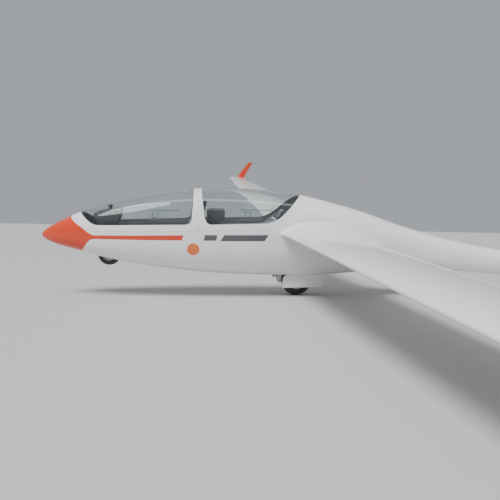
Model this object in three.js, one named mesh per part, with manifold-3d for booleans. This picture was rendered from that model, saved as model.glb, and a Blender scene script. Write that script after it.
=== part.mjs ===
// A two-seat training sailplane, parked on its main and tail wheels with the left wing tip down.
// Millimetres. It is drawn with +X aft from the nose, +Y to the right wing and +Z up,
// and the finished glider is turned half round, so that it faces +X with its left wing towards +Y.
import * as THREE from "three";
import { mergeVertices } from "three/addons/utils/BufferGeometryUtils.js";
import Module from "manifold-3d";

const wasm = await Module();
wasm.setup();

// How it stands
const PARKED_ROLL = THREE.MathUtils.degToRad(7);
const SEAT = 0.3;
const RUNNING_GAP = 5;

// Fuselage
const AROUND = 28;
const ROUND_TOP = 2.15;
const ROUND_BOTTOM = 2.5;
const WALL = 16;
const FUSELAGE_SPLIT = 3430;
const FUSELAGE_END = 8290;
// Columns: station, top, bottom, half width, height of the widest line
const FUSELAGE = [
  [0, 722, 710, 6, 716],
  [20, 757, 684, 40, 717],
  [60, 792, 656, 70, 718],
  [150, 850, 617, 118, 720],
  [330, 943, 567, 182, 726],
  [450, 1000, 535, 216, 731],
  [650, 1082, 478, 261, 738],
  [870, 1148, 433, 296, 746],
  [1170, 1221, 383, 330, 754],
  [1500, 1275, 338, 353, 762],
  [1800, 1303, 309, 364, 769],
  [2200, 1312, 283, 368, 777],
  [2600, 1299, 273, 360, 780],
  [3000, 1262, 264, 338, 772],
  [3400, 1178, 280, 304, 745],
  [3800, 1078, 315, 262, 700],
  [4300, 920, 347, 218, 635],
  [5000, 745, 338, 180, 545],
  [5740, 618, 290, 155, 458],
  [6600, 530, 222, 135, 380],
  [7400, 462, 152, 118, 312],
  [7900, 425, 108, 100, 270],
  [8290, 396, 150, 44, 268],
];
const NOSE_STATIONS = [0, 20, 60, 150, 240, 330, 450, 650, 870];
const POD_STATIONS = [1170, 1500, 1774, 2100, 2400, 2650, 2850, 3050, 3250];
const BOOM_STATIONS = [3430, 3600, 3800, 4050, 4300, 4700, 5200, 5740, 6600, 7400, 7900, 8100, 8290];

// Cockpit and its two canopies
const CANOPY_GAP = 5;
const ARCH_SEAM = 1774;
const FRAME_THICKNESS = 14;
const GLASS_THICKNESS = 4;
const SILL_FRONT = [545, 797];
const SILL_MIDDLE = [1774, 831];
const SILL_REAR = [2620, 866];
const CANOPY_NOSE = [332, 950];
const CANOPY_TAIL = [3060, 1262];
const REAR_HINGE_Y = 378;
const REAR_HINGE_Z = 827;
const HINGE_KNUCKLE = 7;
const HINGE_PIN = 3.5;
const PIN = 5;

// Wing, in its own frame: origin on the root leading edge, chord line flat
const WING_ROOT = new THREE.Vector3(2756, 0, 806);
const DIHEDRAL = Math.atan(0.0477);
const INCIDENCE = THREE.MathUtils.degToRad(6.5);
// Columns: span station, leading edge, chord, thickness factor
const WING = [
  [240, -70, 1370, 1.62],
  [330, -44, 1290, 1.38],
  [400, -20, 1228, 1.17],
  [500, -3, 1182, 1.05],
  [700, 8, 1138, 1],
  [1500, 18, 1090, 1],
  [2600, 31, 1024, 1],
  [4000, 48, 950, 0.98],
  [4900, 59, 887, 0.96],
  [6000, 72, 800, 0.93],
  [7000, 84, 680, 0.9],
  [8200, 98, 526, 0.87],
  [8450, 128, 482, 0.86],
  [8650, 205, 400, 0.85],
  [8800, 305, 302, 0.82],
  [8900, 404, 203, 0.78],
];
// Columns: fraction of the chord, upper side, lower side
const AIRFOIL = [
  [0, 0, 0],
  [0.006, 0.014, -0.01],
  [0.025, 0.031, -0.019],
  [0.07, 0.055, -0.029],
  [0.15, 0.08, -0.038],
  [0.28, 0.1, -0.045],
  [0.42, 0.106, -0.047],
  [0.56, 0.098, -0.043],
  [0.7, 0.075, -0.032],
  [0.82, 0.047, -0.018],
  [0.92, 0.021, -0.007],
  [1, 0.002, -0.002],
];
const AILERON_IN = 4900;
const AILERON_OUT = 8200;
const AILERON_AT = 0.82;
const AILERON_GAP = 15;
// Columns: span station, height, leading edge, chord, half thickness, lean in degrees
const WINGLET = [
  [8900.3, 4, 405, 202, 11, 0],
  [8936, 22, 412, 199, 10, 48],
  [8962, 96, 446, 187, 9, 80],
  [8984, 290, 560, 155, 7, 86],
  [9000, 508, 697, 122, 5, 86],
];
const SKID_AT = 8450;
const SKID_DROP = 134.5;
const BRAKE_IN = 2600;
const BRAKE_OUT = 4000;
const BRAKE_AT = 455;
const BRAKE_TRAVEL = 110;

// Tail
const FIN_PROFILE = [
  [0, 0],
  [0.01, 0.28],
  [0.05, 0.55],
  [0.15, 0.84],
  [0.3, 1],
  [0.5, 0.93],
  [0.7, 0.65],
  [0.85, 0.35],
  [1, 0.03],
];
// Columns: height, leading edge, trailing edge, half thickness
const FIN = [
  [205, 7180, 8604, 66],
  [330, 7270, 8632, 65],
  [480, 7400, 8656, 63],
  [700, 7525, 8660, 59],
  [1100, 7690, 8648, 52],
  [1560, 7872, 8624, 44],
  [1722, 7940, 8612, 42],
];
const RUDDER_FOOT = [8316, 215];
const RUDDER_HEAD = [8424, 1572];
const RUDDER_GAP = 30;
const TAILPLANE_Z = 1722;
const ELEVATOR_X = 8430;
const ELEVATOR_GAP = 16;
const ELEVATOR_HALF_SPAN = 1440;
// Columns: span station, leading edge, trailing edge, half thickness
const TAILPLANE = [
  [0, 7975, 8606, 33],
  [900, 8055, 8592, 27],
  [1440, 8110, 8578, 21],
  [1520, 8140, 8568, 17],
  [1550, 8180, 8552, 11],
];

// Wheels: station, height of the axle, radius, width, axle radius
const MAIN_WHEEL = { x: 3027, z: 190, radius: 190, width: 145, axle: 12 };
const NOSE_WHEEL = { x: 748, z: 494, radius: 130, width: 85, axle: 9 };
const TAIL_WHEEL = { x: 7950, z: 100, radius: 100, width: 50, axle: 6 };
const WELL_ROOF = 462;
const DOOR = { front: 2823, rear: 3350, y: 150, axisY: 141, drop: 165, thickness: 6 };
const DOOR_AXIS_FRONT = [2823, 289.5];
const DOOR_AXIS_REAR = [3350, 304];
const DOOR_HINGES = [2939, 3215];
const DOOR_PIN = 3;

// Colours and finishes
function paint(color, roughness, metalness = 0) {
  return new THREE.MeshStandardMaterial({ color, roughness, metalness });
}
const WHITE = paint(0xf1f1ee, 0.22);
const RED = paint(0xd8452c, 0.25);
const ACRYLIC = paint(0xbfd0d2, 0.05);
const RUBBER = paint(0x1b1b1c, 0.85);
const ALLOY = paint(0xb9bbbe, 0.4, 0.9);
const STEEL = paint(0x8f9296, 0.45, 0.8);
const LINER = paint(0x8d8f90, 0.6);
const FABRIC = paint(0x2d3038, 0.9);
const PANEL_BLACK = paint(0x1f2124, 0.55);

// A column of a table as a smooth curve of its first column, without overshoot
function curve(rows, column) {
  const x = rows.map((row) => row[0]);
  const y = rows.map((row) => row[column]);
  const last = x.length - 1;
  const step = [];
  for (let i = 0; i < last; i++) step.push((y[i + 1] - y[i]) / (x[i + 1] - x[i]));
  const slope = [step[0]];
  for (let i = 1; i < last; i++) {
    const a = step[i - 1];
    const b = step[i];
    slope.push(a * b <= 0 ? 0 : (2 * a * b) / (a + b));
  }
  slope.push(step[last - 1]);
  return (at) => {
    let i = 0;
    while (i < last - 1 && at > x[i + 1]) i++;
    const h = x[i + 1] - x[i];
    const t = (at - x[i]) / h;
    const u = 1 - t;
    return (
      y[i] * u * u * (1 + 2 * t) +
      y[i + 1] * t * t * (3 - 2 * t) +
      h * t * u * (slope[i] * u - slope[i + 1] * t)
    );
  };
}

// A closed body through rings of points, each end closed by a fan about its middle
function loft(rings) {
  const count = rings[0].length;
  const points = rings.flat();
  const index = [];
  for (let k = 0; k < rings.length - 1; k++) {
    for (let i = 0; i < count; i++) {
      const j = (i + 1) % count;
      const a = k * count;
      const b = a + count;
      index.push(a + i, a + j, b + j, a + i, b + j, b + i);
    }
  }
  for (const [k, forward] of [[0, false], [rings.length - 1, true]]) {
    const middle = new THREE.Vector3();
    for (const p of rings[k]) middle.addScaledVector(p, 1 / count);
    const hub = points.push(middle) - 1;
    for (let i = 0; i < count; i++) {
      const a = k * count + i;
      const b = k * count + ((i + 1) % count);
      if (forward) index.push(hub, a, b);
      else index.push(hub, b, a);
    }
  }
  const geometry = new THREE.BufferGeometry().setFromPoints(points);
  geometry.setIndex(index);
  return outward(geometry);
}

// Turns a closed mesh's faces outwards
function outward(geometry) {
  const p = geometry.getAttribute("position");
  const index = geometry.getIndex().array;
  const [a, b, c] = [new THREE.Vector3(), new THREE.Vector3(), new THREE.Vector3()];
  let volume = 0;
  for (let i = 0; i < index.length; i += 3) {
    a.fromBufferAttribute(p, index[i]);
    b.fromBufferAttribute(p, index[i + 1]);
    c.fromBufferAttribute(p, index[i + 2]);
    volume += a.dot(b.cross(c));
  }
  if (volume < 0) flip(geometry);
  return geometry;
}

function flip(geometry) {
  const index = geometry.getIndex().array;
  for (let i = 0; i < index.length; i += 3) {
    [index[i + 1], index[i + 2]] = [index[i + 2], index[i + 1]];
  }
  return geometry;
}

function toSolid(geometry) {
  return new wasm.Manifold(
    new wasm.Mesh({
      numProp: 3,
      vertProperties: new Float32Array(geometry.getAttribute("position").array),
      triVerts: new Uint32Array(geometry.getIndex().array),
    }),
  );
}

function toGeometry(body) {
  const mesh = body.getMesh();
  const geometry = new THREE.BufferGeometry();
  geometry.setAttribute("position", new THREE.BufferAttribute(mesh.vertProperties, 3));
  geometry.setIndex(new THREE.BufferAttribute(mesh.triVerts, 1));
  geometry.computeVertexNormals();
  return geometry;
}

function cut(geometry, ...tools) {
  let body = toSolid(geometry);
  for (const tool of tools) body = body.subtract(toSolid(tool));
  return toGeometry(body);
}

function common(geometry, ...tools) {
  let body = toSolid(geometry);
  for (const tool of tools) body = body.intersect(toSolid(tool));
  return toGeometry(body);
}

function join(geometry, ...others) {
  let body = toSolid(geometry);
  for (const other of others) body = body.add(toSolid(other));
  return toGeometry(body);
}

// An outline with rounded corners; each corner is [x, y, radius]
function outline(corners) {
  const shape = new THREE.Shape();
  const at = corners.map(([x, y]) => new THREE.Vector2(x, y));
  const count = corners.length;
  for (let i = 0; i < count; i++) {
    const radius = corners[i][2] ?? 0;
    const here = at[i];
    const towards = (other) => here.clone().add(other.clone().sub(here).setLength(radius));
    const start = radius ? towards(at[(i + count - 1) % count]) : here;
    if (i === 0) shape.moveTo(start.x, start.y);
    else shape.lineTo(start.x, start.y);
    if (radius) {
      const end = towards(at[(i + 1) % count]);
      shape.quadraticCurveTo(here.x, here.y, end.x, end.y);
    }
  }
  shape.closePath();
  return shape;
}

// An outline in X and Z, carried along Y
function prismY(corners, from, to, curveSegments = 4) {
  const depth = to - from;
  const shape = corners.isShape ? corners : outline(corners);
  const body = new THREE.ExtrudeGeometry(shape, { depth, bevelEnabled: false, curveSegments });
  return indexed(body.rotateX(Math.PI / 2).translate(0, to, 0));
}

// An outline in X and Y, carried along Z
function prismZ(corners, from, to, curveSegments = 4) {
  const depth = to - from;
  const shape = corners.isShape ? corners : outline(corners);
  const body = new THREE.ExtrudeGeometry(shape, { depth, bevelEnabled: false, curveSegments });
  return indexed(body.translate(0, 0, from));
}

function indexed(geometry) {
  const bare = new THREE.BufferGeometry();
  bare.setAttribute("position", geometry.getAttribute("position"));
  if (geometry.getIndex()) bare.setIndex(geometry.getIndex());
  return mergeVertices(bare, 1e-3);
}

function box(x0, x1, y0, y1, z0, z1) {
  const body = new THREE.BoxGeometry(x1 - x0, y1 - y0, z1 - z0);
  return indexed(body.translate((x0 + x1) / 2, (y0 + y1) / 2, (z0 + z1) / 2));
}

function rod(from, to, radius, sides = 8) {
  const along = to.clone().sub(from);
  const body = new THREE.CylinderGeometry(radius, radius, along.length(), sides);
  const turn = new THREE.Quaternion();
  turn.setFromUnitVectors(new THREE.Vector3(0, 1, 0), along.clone().normalize());
  body.applyQuaternion(turn);
  const middle = from.clone().add(to).multiplyScalar(0.5);
  return indexed(body.translate(middle.x, middle.y, middle.z));
}

function mirrored(geometry) {
  return flip(geometry.clone().scale(1, -1, 1));
}

const v3 = (x, y, z) => new THREE.Vector3(x, y, z);

// The radius of an eight-sided bore in which an eight-sided pin turns freely
const bore = (radius) => (radius + SEAT) / Math.cos(Math.PI / 8);

// Groups: fixed frames, and hinges whose own X axis is the axis that they turn about
const glider = new THREE.Group();
glider.name = "sailplane_glider";
const airframe = new THREE.Group();
airframe.name = "airframe";
airframe.rotation.x = PARKED_ROLL;
glider.add(airframe);

function frame(parent, name, position, rx = 0, ry = 0) {
  const group = new THREE.Group();
  group.name = name;
  group.position.copy(position);
  group.rotation.set(rx, ry, 0);
  group.updateMatrix();
  parent.add(group);
  return group;
}

function hinge(parent, name, point, along) {
  const group = new THREE.Group();
  group.name = name;
  group.position.copy(point);
  group.quaternion.setFromUnitVectors(v3(1, 0, 0), along.clone().normalize());
  group.updateMatrix();
  parent.add(group);
  return group;
}

function fix(group, name, geometry, material) {
  const mesh = new THREE.Mesh(geometry, material);
  mesh.name = name;
  group.add(mesh);
  return mesh;
}

// Adds a piece, drawn in the frame that the hinge stands in, to that hinge
function hang(group, name, geometry, material) {
  return fix(group, name, geometry.applyMatrix4(group.matrix.clone().invert()), material);
}

// Fuselage skin
const hullTop = curve(FUSELAGE, 1);
const hullBottom = curve(FUSELAGE, 2);
const hullHalf = curve(FUSELAGE, 3);
const hullWide = curve(FUSELAGE, 4);

function hullRing(x, inset) {
  const half = hullHalf(x) - inset;
  const wide = hullWide(x);
  const up = hullTop(x) - inset - wide;
  const down = wide - hullBottom(x) - inset;
  const ring = [];
  for (let i = 0; i < AROUND; i++) {
    const angle = (2 * Math.PI * i) / AROUND;
    const c = Math.cos(angle);
    const s = Math.sin(angle);
    const power = 2 / (s > 0 ? ROUND_TOP : ROUND_BOTTOM);
    const y = half * Math.sign(c) * Math.abs(c) ** power;
    const z = wide + (s > 0 ? up : down) * Math.sign(s) * Math.abs(s) ** power;
    ring.push(v3(x, y, z));
  }
  return ring;
}

function hull(from, to, inset = 0) {
  const known = [...NOSE_STATIONS, ...POD_STATIONS, ...BOOM_STATIONS];
  const inside = known.filter((x) => x > from + 1 && x < to - 1);
  return loft([from, ...inside, to].map((x) => hullRing(x, inset)));
}

// The canopies' outline from the side, moved in by a gap
function canopyOutline(gap, from, to) {
  const low = gap;
  const path = [
    [CANOPY_NOSE[0] + gap, CANOPY_NOSE[1] + low],
    [SILL_FRONT[0] + gap, SILL_FRONT[1] + low],
    [SILL_MIDDLE[0], SILL_MIDDLE[1] + low],
    [SILL_REAR[0], SILL_REAR[1] + low],
    [CANOPY_TAIL[0] - gap * 0.3, CANOPY_TAIL[1] + low],
    [CANOPY_TAIL[0] + 120, 1500],
    [CANOPY_NOSE[0] - 160, 1500],
  ];
  return common(prismY(path, -600, 600), box(from, to, -600, 600, 0, 1600));
}

const canopyRoom = canopyOutline(0, 0, 4000);
// Windows from the side: [x, z, corner radius]
const FRONT_WINDOW = [
  [436, 1002],
  [541, 917, 20],
  [652, 866, 40],
  [1704, 907, 70],
  [1730, 1300],
  [1730, 1500],
  [200, 1500],
];
const REAR_WINDOW = [
  [1816, 1500],
  [1816, 1296],
  [1846, 911, 75],
  [2600, 939, 70],
  [2779, 1050],
  [3000, 1260],
  [3210, 1500],
];
const SIDES = [-600, 600];

// Hollow of the cockpit, from the side
const HOLLOW = [
  [352, 1600],
  [352, 930],
  [420, 520],
  [1000, 200],
  [2610, 200],
  [2700, 640],
  [2960, 900],
  [3010, 1190],
  [3130, 1600],
];
const NOSE_BOX = { x0: 585, x1: 915, y: 68, z: 655 };
const hollow = cut(
  common(hull(340, 3140, WALL), prismY(HOLLOW, ...SIDES)),
  box(NOSE_BOX.x0, NOSE_BOX.x1, -NOSE_BOX.y, NOSE_BOX.y, 200, NOSE_BOX.z),
);
const noseWell = box(600, 900, -52, 52, 200, 640);
const mainWell = prismY(
  [
    [DOOR.front, 100],
    [DOOR.front, 400, 20],
    [2890, WELL_ROOF, 20],
    [3240, WELL_ROOF, 20],
    [DOOR.rear, 380, 20],
    [DOOR.rear, 100],
  ],
  -DOOR.y,
  DOOR.y,
);
const noseAxleBore = rod(
  v3(NOSE_WHEEL.x, -61, NOSE_WHEEL.z),
  v3(NOSE_WHEEL.x, 61, NOSE_WHEEL.z),
  NOSE_WHEEL.axle + SEAT,
);
const shellParts = [
  cut(
    hull(0, FUSELAGE_SPLIT - SEAT / 2),
    canopyRoom,
    hollow,
    noseWell,
    mainWell,
    noseAxleBore,
  ),
];

const tailWell = box(7836, 8064, -31, 31, 0, 214);
const rudderAxis = v3(RUDDER_HEAD[0] - RUDDER_FOOT[0], 0, RUDDER_HEAD[1] - RUDDER_FOOT[1]).normalize();
const rudderFoot = v3(RUDDER_FOOT[0], 0, RUDDER_FOOT[1]);
const rudderHead = v3(RUDDER_HEAD[0], 0, RUDDER_HEAD[1]);
const at = (point, along, distance) => point.clone().addScaledVector(along, distance);
const rudderLug = cut(
  box(8200, 8346, -15, 15, 180, RUDDER_FOOT[1] - RUNNING_GAP),
  rod(at(rudderFoot, rudderAxis, -24), at(rudderFoot, rudderAxis, 4), bore(PIN)),
);
const boom = cut(hull(FUSELAGE_SPLIT + SEAT / 2, FUSELAGE_END), tailWell);
fix(airframe, "tail_boom", join(boom, rudderLug), WHITE);

// Canopies, each on two hinges outside the right sill
const sillSlope = (SILL_MIDDLE[1] - SILL_FRONT[1]) / (SILL_MIDDLE[0] - SILL_FRONT[0]);
const rearSlope = (SILL_REAR[1] - SILL_MIDDLE[1]) / (SILL_REAR[0] - SILL_MIDDLE[0]);
const sill = (x) =>
  x < ARCH_SEAM
    ? SILL_FRONT[1] + sillSlope * (x - SILL_FRONT[0])
    : SILL_MIDDLE[1] + rearSlope * (x - SILL_MIDDLE[0]);
const canopies = {
  front: {
    from: 0,
    to: ARCH_SEAM - CANOPY_GAP / 2,
    window: FRONT_WINDOW,
    at: v3(1480, 360, sill(1480) - 2),
    along: v3(1, 0.05, sillSlope).normalize(),
    knuckles: [-240, 170],
  },
  rear: {
    from: ARCH_SEAM + CANOPY_GAP / 2,
    to: 4000,
    window: REAR_WINDOW,
    at: v3(2200, REAR_HINGE_Y, REAR_HINGE_Z),
    along: v3(1, 0, 0),
    knuckles: [-240, 60],
  },
};

// A window's outline, drawn in so that the pane clears its frame
function shrunk(corners) {
  const count = corners.length;
  const cx = corners.reduce((sum, c) => sum + c[0], 0) / count;
  const cz = corners.reduce((sum, c) => sum + c[1], 0) / count;
  return corners.map(([x, z, radius]) => {
    const k = 1 - 1.2 / Math.hypot(x - cx, z - cz);
    return [cx + (x - cx) * k, cz + (z - cz) * k, radius];
  });
}

for (const [end, c] of Object.entries(canopies)) {
  const room = canopyOutline(CANOPY_GAP, c.from, c.to);
  const skin = common(hull(200, 3300), room);
  const inside = hull(210, 3290, FRAME_THICKNESS);
  const glassInside = hull(210, 3290, GLASS_THICKNESS);
  const pane = common(skin, prismY(shrunk(c.window), ...SIDES));
  const pivot = hinge(airframe, `hinge_canopy_${end}`, c.at, c.along);
  let border = cut(skin, inside, prismY(c.window, ...SIDES));
  for (const along of c.knuckles) {
    const k = at(c.at, c.along, along);
    const low = sill(k.x) + CANOPY_GAP + 1;
    const hole = rod(at(k, c.along, -14), at(k, c.along, 14), bore(HINGE_PIN));
    const arm = join(
      box(k.x - 11, k.x + 11, k.y - 24, k.y + 5, low, low + 14),
      box(k.x - 11, k.x + 11, k.y - 5, k.y + 5, k.z, low + 14),
      rod(at(k, c.along, -11), at(k, c.along, 11), HINGE_KNUCKLE),
    );
    border = join(border, cut(arm, hole));
    const lug = (from, to) =>
      join(
        box(k.x + from, k.x + to, k.y - 26, k.y, k.z - 16, k.z - 3),
        rod(at(k, c.along, from), at(k, c.along, to), HINGE_KNUCKLE),
      );
    const pin = rod(at(k, c.along, -26), at(k, c.along, 26), HINGE_PIN);
    shellParts.push(lug(-26, -12.5), lug(12.5, 26), pin);
  }
  hang(pivot, `canopy_${end}_frame`, border, WHITE);
  hang(pivot, `canopy_${end}_glass`, cut(pane, glassInside), ACRYLIC);
}

// Main wheel doors, hanging open beside the wheel
const doorSlope = (DOOR_AXIS_REAR[1] - DOOR_AXIS_FRONT[1]) / (DOOR_AXIS_REAR[0] - DOOR_AXIS_FRONT[0]);
const doorAxis = (x, y) => v3(x, y, DOOR_AXIS_FRONT[1] + doorSlope * (x - DOOR_AXIS_FRONT[0]));
const doorAlong = v3(1, 0, doorSlope).normalize();
function door(y) {
  const top = (x) => doorAxis(x, y).z - 2;
  let body = prismY(
    [
      [DOOR.front, top(DOOR.front), 70],
      [DOOR.rear, top(DOOR.rear), 12],
      [DOOR.rear, top(DOOR.rear) - DOOR.drop, 25],
      [DOOR.front, top(DOOR.front) - DOOR.drop, 25],
    ],
    y - DOOR.thickness / 2,
    y + DOOR.thickness / 2,
  );
  for (const x of DOOR_HINGES) {
    const z = doorAxis(x, y).z;
    body = cut(body, box(x - 7, x + 7, y - 9, y + 9, z - 9, z + 9));
    for (const [from, to] of [[-16, -7], [7, 16]]) {
      const ear = rod(at(doorAxis(x, y), doorAlong, from), at(doorAxis(x, y), doorAlong, to), 6);
      body = join(body, ear);
    }
    const reach = 18;
    const hole = rod(
      at(doorAxis(x, y), doorAlong, -reach),
      at(doorAxis(x, y), doorAlong, reach),
      bore(DOOR_PIN),
    );
    body = cut(body, hole);
  }
  return body;
}
for (const [side, y] of [["left", -DOOR.axisY], ["right", DOOR.axisY]]) {
  const pivot = hinge(airframe, `hinge_gear_door_${side}`, doorAxis(3027, y), doorAlong);
  hang(pivot, `gear_door_${side}`, door(y), WHITE);
  for (const x of DOOR_HINGES) {
    const k = doorAxis(x, y);
    const wall = Math.sign(y) * (DOOR.y + 6);
    const [y0, y1] = y < 0 ? [wall, y + 5] : [y - 5, wall];
    shellParts.push(
      box(x - 6, x + 6, y0, y1, k.z - 5, k.z + 5),
      rod(at(k, doorAlong, -16), at(k, doorAlong, 16), DOOR_PIN),
    );
  }
}
fix(airframe, "cockpit_shell", join(...shellParts), WHITE);

// Wings, drawn for the right side and mirrored
function wingRing([y, edge, chord, factor]) {
  const upper = AIRFOIL.map(([f, u]) => v3(edge + f * chord, y, u * chord * factor));
  const lower = AIRFOIL.slice(1).map(([f, , l]) => v3(edge + f * chord, y, l * chord * factor));
  return [...upper, ...lower.reverse()];
}
const wingEdge = curve(WING, 1);
const wingChord = curve(WING, 2);
const fullWing = loft(WING.map(wingRing));
const hullOverWing = hull(1800, 5200, -SEAT);

const aileronPoint = (y) => v3(wingEdge(y) + AILERON_AT * wingChord(y), y, 0.0145 * wingChord(y));
const aileronFrom = aileronPoint(AILERON_IN);
const aileronTo = aileronPoint(AILERON_OUT);
const aileronAlong = aileronTo.clone().sub(aileronFrom).normalize();
function behindAileronAxis(gap, ends) {
  return prismZ(
    [
      [aileronFrom.x - gap, AILERON_IN + ends],
      [aileronFrom.x + 400, AILERON_IN + ends],
      [aileronTo.x + 400, AILERON_OUT - ends],
      [aileronTo.x - gap, AILERON_OUT - ends],
    ],
    -200,
    200,
  );
}
const aileronPin = (radius, reach) => [
  rod(at(aileronFrom, aileronAlong, -reach), at(aileronFrom, aileronAlong, 40), radius),
  rod(at(aileronTo, aileronAlong, -40), at(aileronTo, aileronAlong, reach), radius),
];
const aileron = join(common(fullWing, behindAileronAxis(0, RUNNING_GAP)), ...aileronPin(PIN, 18));

const brakeSlot = box(BRAKE_AT - 11, BRAKE_AT + 11, BRAKE_IN, BRAKE_OUT, -28, 200);
const brake = join(
  common(fullWing, box(BRAKE_AT - 6, BRAKE_AT + 6, BRAKE_IN + 6, BRAKE_OUT - 6, -24, 200)),
  box(BRAKE_AT - 10.7, BRAKE_AT + 10.7, BRAKE_IN + SEAT, BRAKE_IN + 16, -24, -4),
  box(BRAKE_AT - 10.7, BRAKE_AT + 10.7, BRAKE_OUT - 16, BRAKE_OUT - SEAT, -24, -4),
);
const hardpoint = box(430, 490, 4300, 4360, -62, 0);

const winglet = loft(
  WINGLET.map(([y, z, edge, chord, half, lean]) => {
    const away = THREE.MathUtils.degToRad(lean);
    const across = v3(0, -Math.sin(away), Math.cos(away));
    const point = (f, t) => v3(edge + f * chord, y, z).addScaledVector(across, t * half);
    const upper = FIN_PROFILE.map(([f, t]) => point(f, t));
    const lower = FIN_PROFILE.slice(1).map(([f, t]) => point(f, -t));
    return [...upper, ...lower.reverse()];
  }),
);

const skidEdge = wingEdge(SKID_AT);
const skid = cut(
  prismY(
    [
      [skidEdge + 60, 0],
      [skidEdge + 90, -SKID_DROP, 40],
      [skidEdge + 260, -SKID_DROP, 60],
      [skidEdge + 330, 0],
    ],
    SKID_AT - 16,
    SKID_AT + 16,
  ),
  fullWing.clone().translate(0, 0, -SEAT),
);

for (const [side, sign] of [["right", 1], ["left", -1]]) {
  const own = (geometry) => (sign > 0 ? geometry.clone() : mirrored(geometry));
  const ownPoint = (p) => v3(p.x, sign * p.y, p.z);
  const wing = frame(airframe, `frame_wing_${side}`, WING_ROOT, sign * DIHEDRAL, INCIDENCE);
  const body = cut(
    join(own(fullWing), own(hardpoint)),
    hullOverWing.clone().applyMatrix4(wing.matrix.clone().invert()),
    own(behindAileronAxis(AILERON_GAP, 0)),
    ...aileronPin(bore(PIN), 20).map(own),
    own(brakeSlot),
  );
  fix(wing, `wing_${side}`, body, WHITE);
  fix(wing, `winglet_${side}`, own(winglet), RED);
  fix(wing, `tip_skid_${side}`, own(skid), PANEL_BLACK);
  const aileronHinge = hinge(wing, `hinge_aileron_${side}`, ownPoint(aileronFrom), ownPoint(aileronAlong));
  hang(aileronHinge, `aileron_${side}`, own(aileron), WHITE);
  const brakeSlide = frame(wing, `slide_airbrake_${side}`, v3(BRAKE_AT, sign * BRAKE_IN, 0));
  hang(brakeSlide, `airbrake_${side}`, own(brake), WHITE);
}

// Tail
function finRing([z, leading, trailing, half]) {
  const length = trailing - leading;
  const right = FIN_PROFILE.map(([f, t]) => v3(leading + f * length, t * half, z));
  const left = FIN_PROFILE.slice(1).map(([f, t]) => v3(leading + f * length, -t * half, z));
  return [...right, ...left.reverse()];
}
const fullFin = loft(FIN.map(finRing));
function behindRudderAxis(gap, ends) {
  return prismY(
    [
      [RUDDER_FOOT[0] - gap, RUDDER_FOOT[1] - ends],
      [9000, RUDDER_FOOT[1] - ends],
      [9000, RUDDER_HEAD[1] + ends],
      [RUDDER_HEAD[0] - gap, RUDDER_HEAD[1] + ends],
    ],
    -200,
    200,
  );
}
function tailRing([y, leading, trailing, half]) {
  const length = trailing - leading;
  const upper = FIN_PROFILE.map(([f, t]) => v3(leading + f * length, y, TAILPLANE_Z + t * half));
  const lower = FIN_PROFILE.slice(1).map(([f, t]) => v3(leading + f * length, y, TAILPLANE_Z - t * half));
  return [...upper, ...lower.reverse()];
}
const tailRows = [...TAILPLANE.slice(1).reverse().map(([y, ...rest]) => [-y, ...rest]), ...TAILPLANE];
const fullTailplane = loft(tailRows.map(tailRing));
const elevatorEnd = ELEVATOR_HALF_SPAN;
const elevatorRoom = box(ELEVATOR_X - ELEVATOR_GAP, 9000, -elevatorEnd - 5, elevatorEnd + 5, 1500, 1900);
const elevatorBody = common(fullTailplane, box(ELEVATOR_X, 9000, -elevatorEnd, elevatorEnd, 1500, 1900));
const elevatorPin = (radius, reach) =>
  [-1, 1].map((sign) =>
    rod(
      v3(ELEVATOR_X, sign * (elevatorEnd - 40), TAILPLANE_Z),
      v3(ELEVATOR_X, sign * (elevatorEnd + 5 + reach), TAILPLANE_Z),
      radius,
    ),
  );
fix(airframe, "tailplane", cut(fullTailplane, elevatorRoom, ...elevatorPin(bore(4), 20)), WHITE);
const elevatorHinge = hinge(airframe, "hinge_elevator", v3(ELEVATOR_X, 0, TAILPLANE_Z), v3(0, 1, 0));
hang(elevatorHinge, "elevator", join(elevatorBody, ...elevatorPin(4, 18)), WHITE);

const fin = cut(
  common(fullFin, box(7000, 8452, -200, 200, 300, 1800)),
  hull(6600, FUSELAGE_END, -SEAT),
  behindRudderAxis(RUDDER_GAP, 8),
  fullTailplane.clone().translate(0, 0, -SEAT),
  fullTailplane.clone().translate(-SEAT, 0, 0),
  box(8398, 9000, -200, 200, 1668, 1800),
  rod(at(rudderHead, rudderAxis, -4), at(rudderHead, rudderAxis, 26), bore(PIN)),
);
const PROBE = 5;
const probe = rod(v3(7440, 0, 1412), v3(7840, 0, 1396), PROBE);
fix(airframe, "fin", join(fin, probe), WHITE);
const rudder = join(
  common(fullFin, behindRudderAxis(0, 0)),
  rod(at(rudderFoot, rudderAxis, -21), at(rudderFoot, rudderAxis, 40), PIN),
  rod(at(rudderHead, rudderAxis, -40), at(rudderHead, rudderAxis, 23), PIN),
);
const rudderHinge = hinge(airframe, "hinge_rudder", rudderFoot, rudderAxis);
hang(rudderHinge, "rudder", rudder, WHITE);

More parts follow.
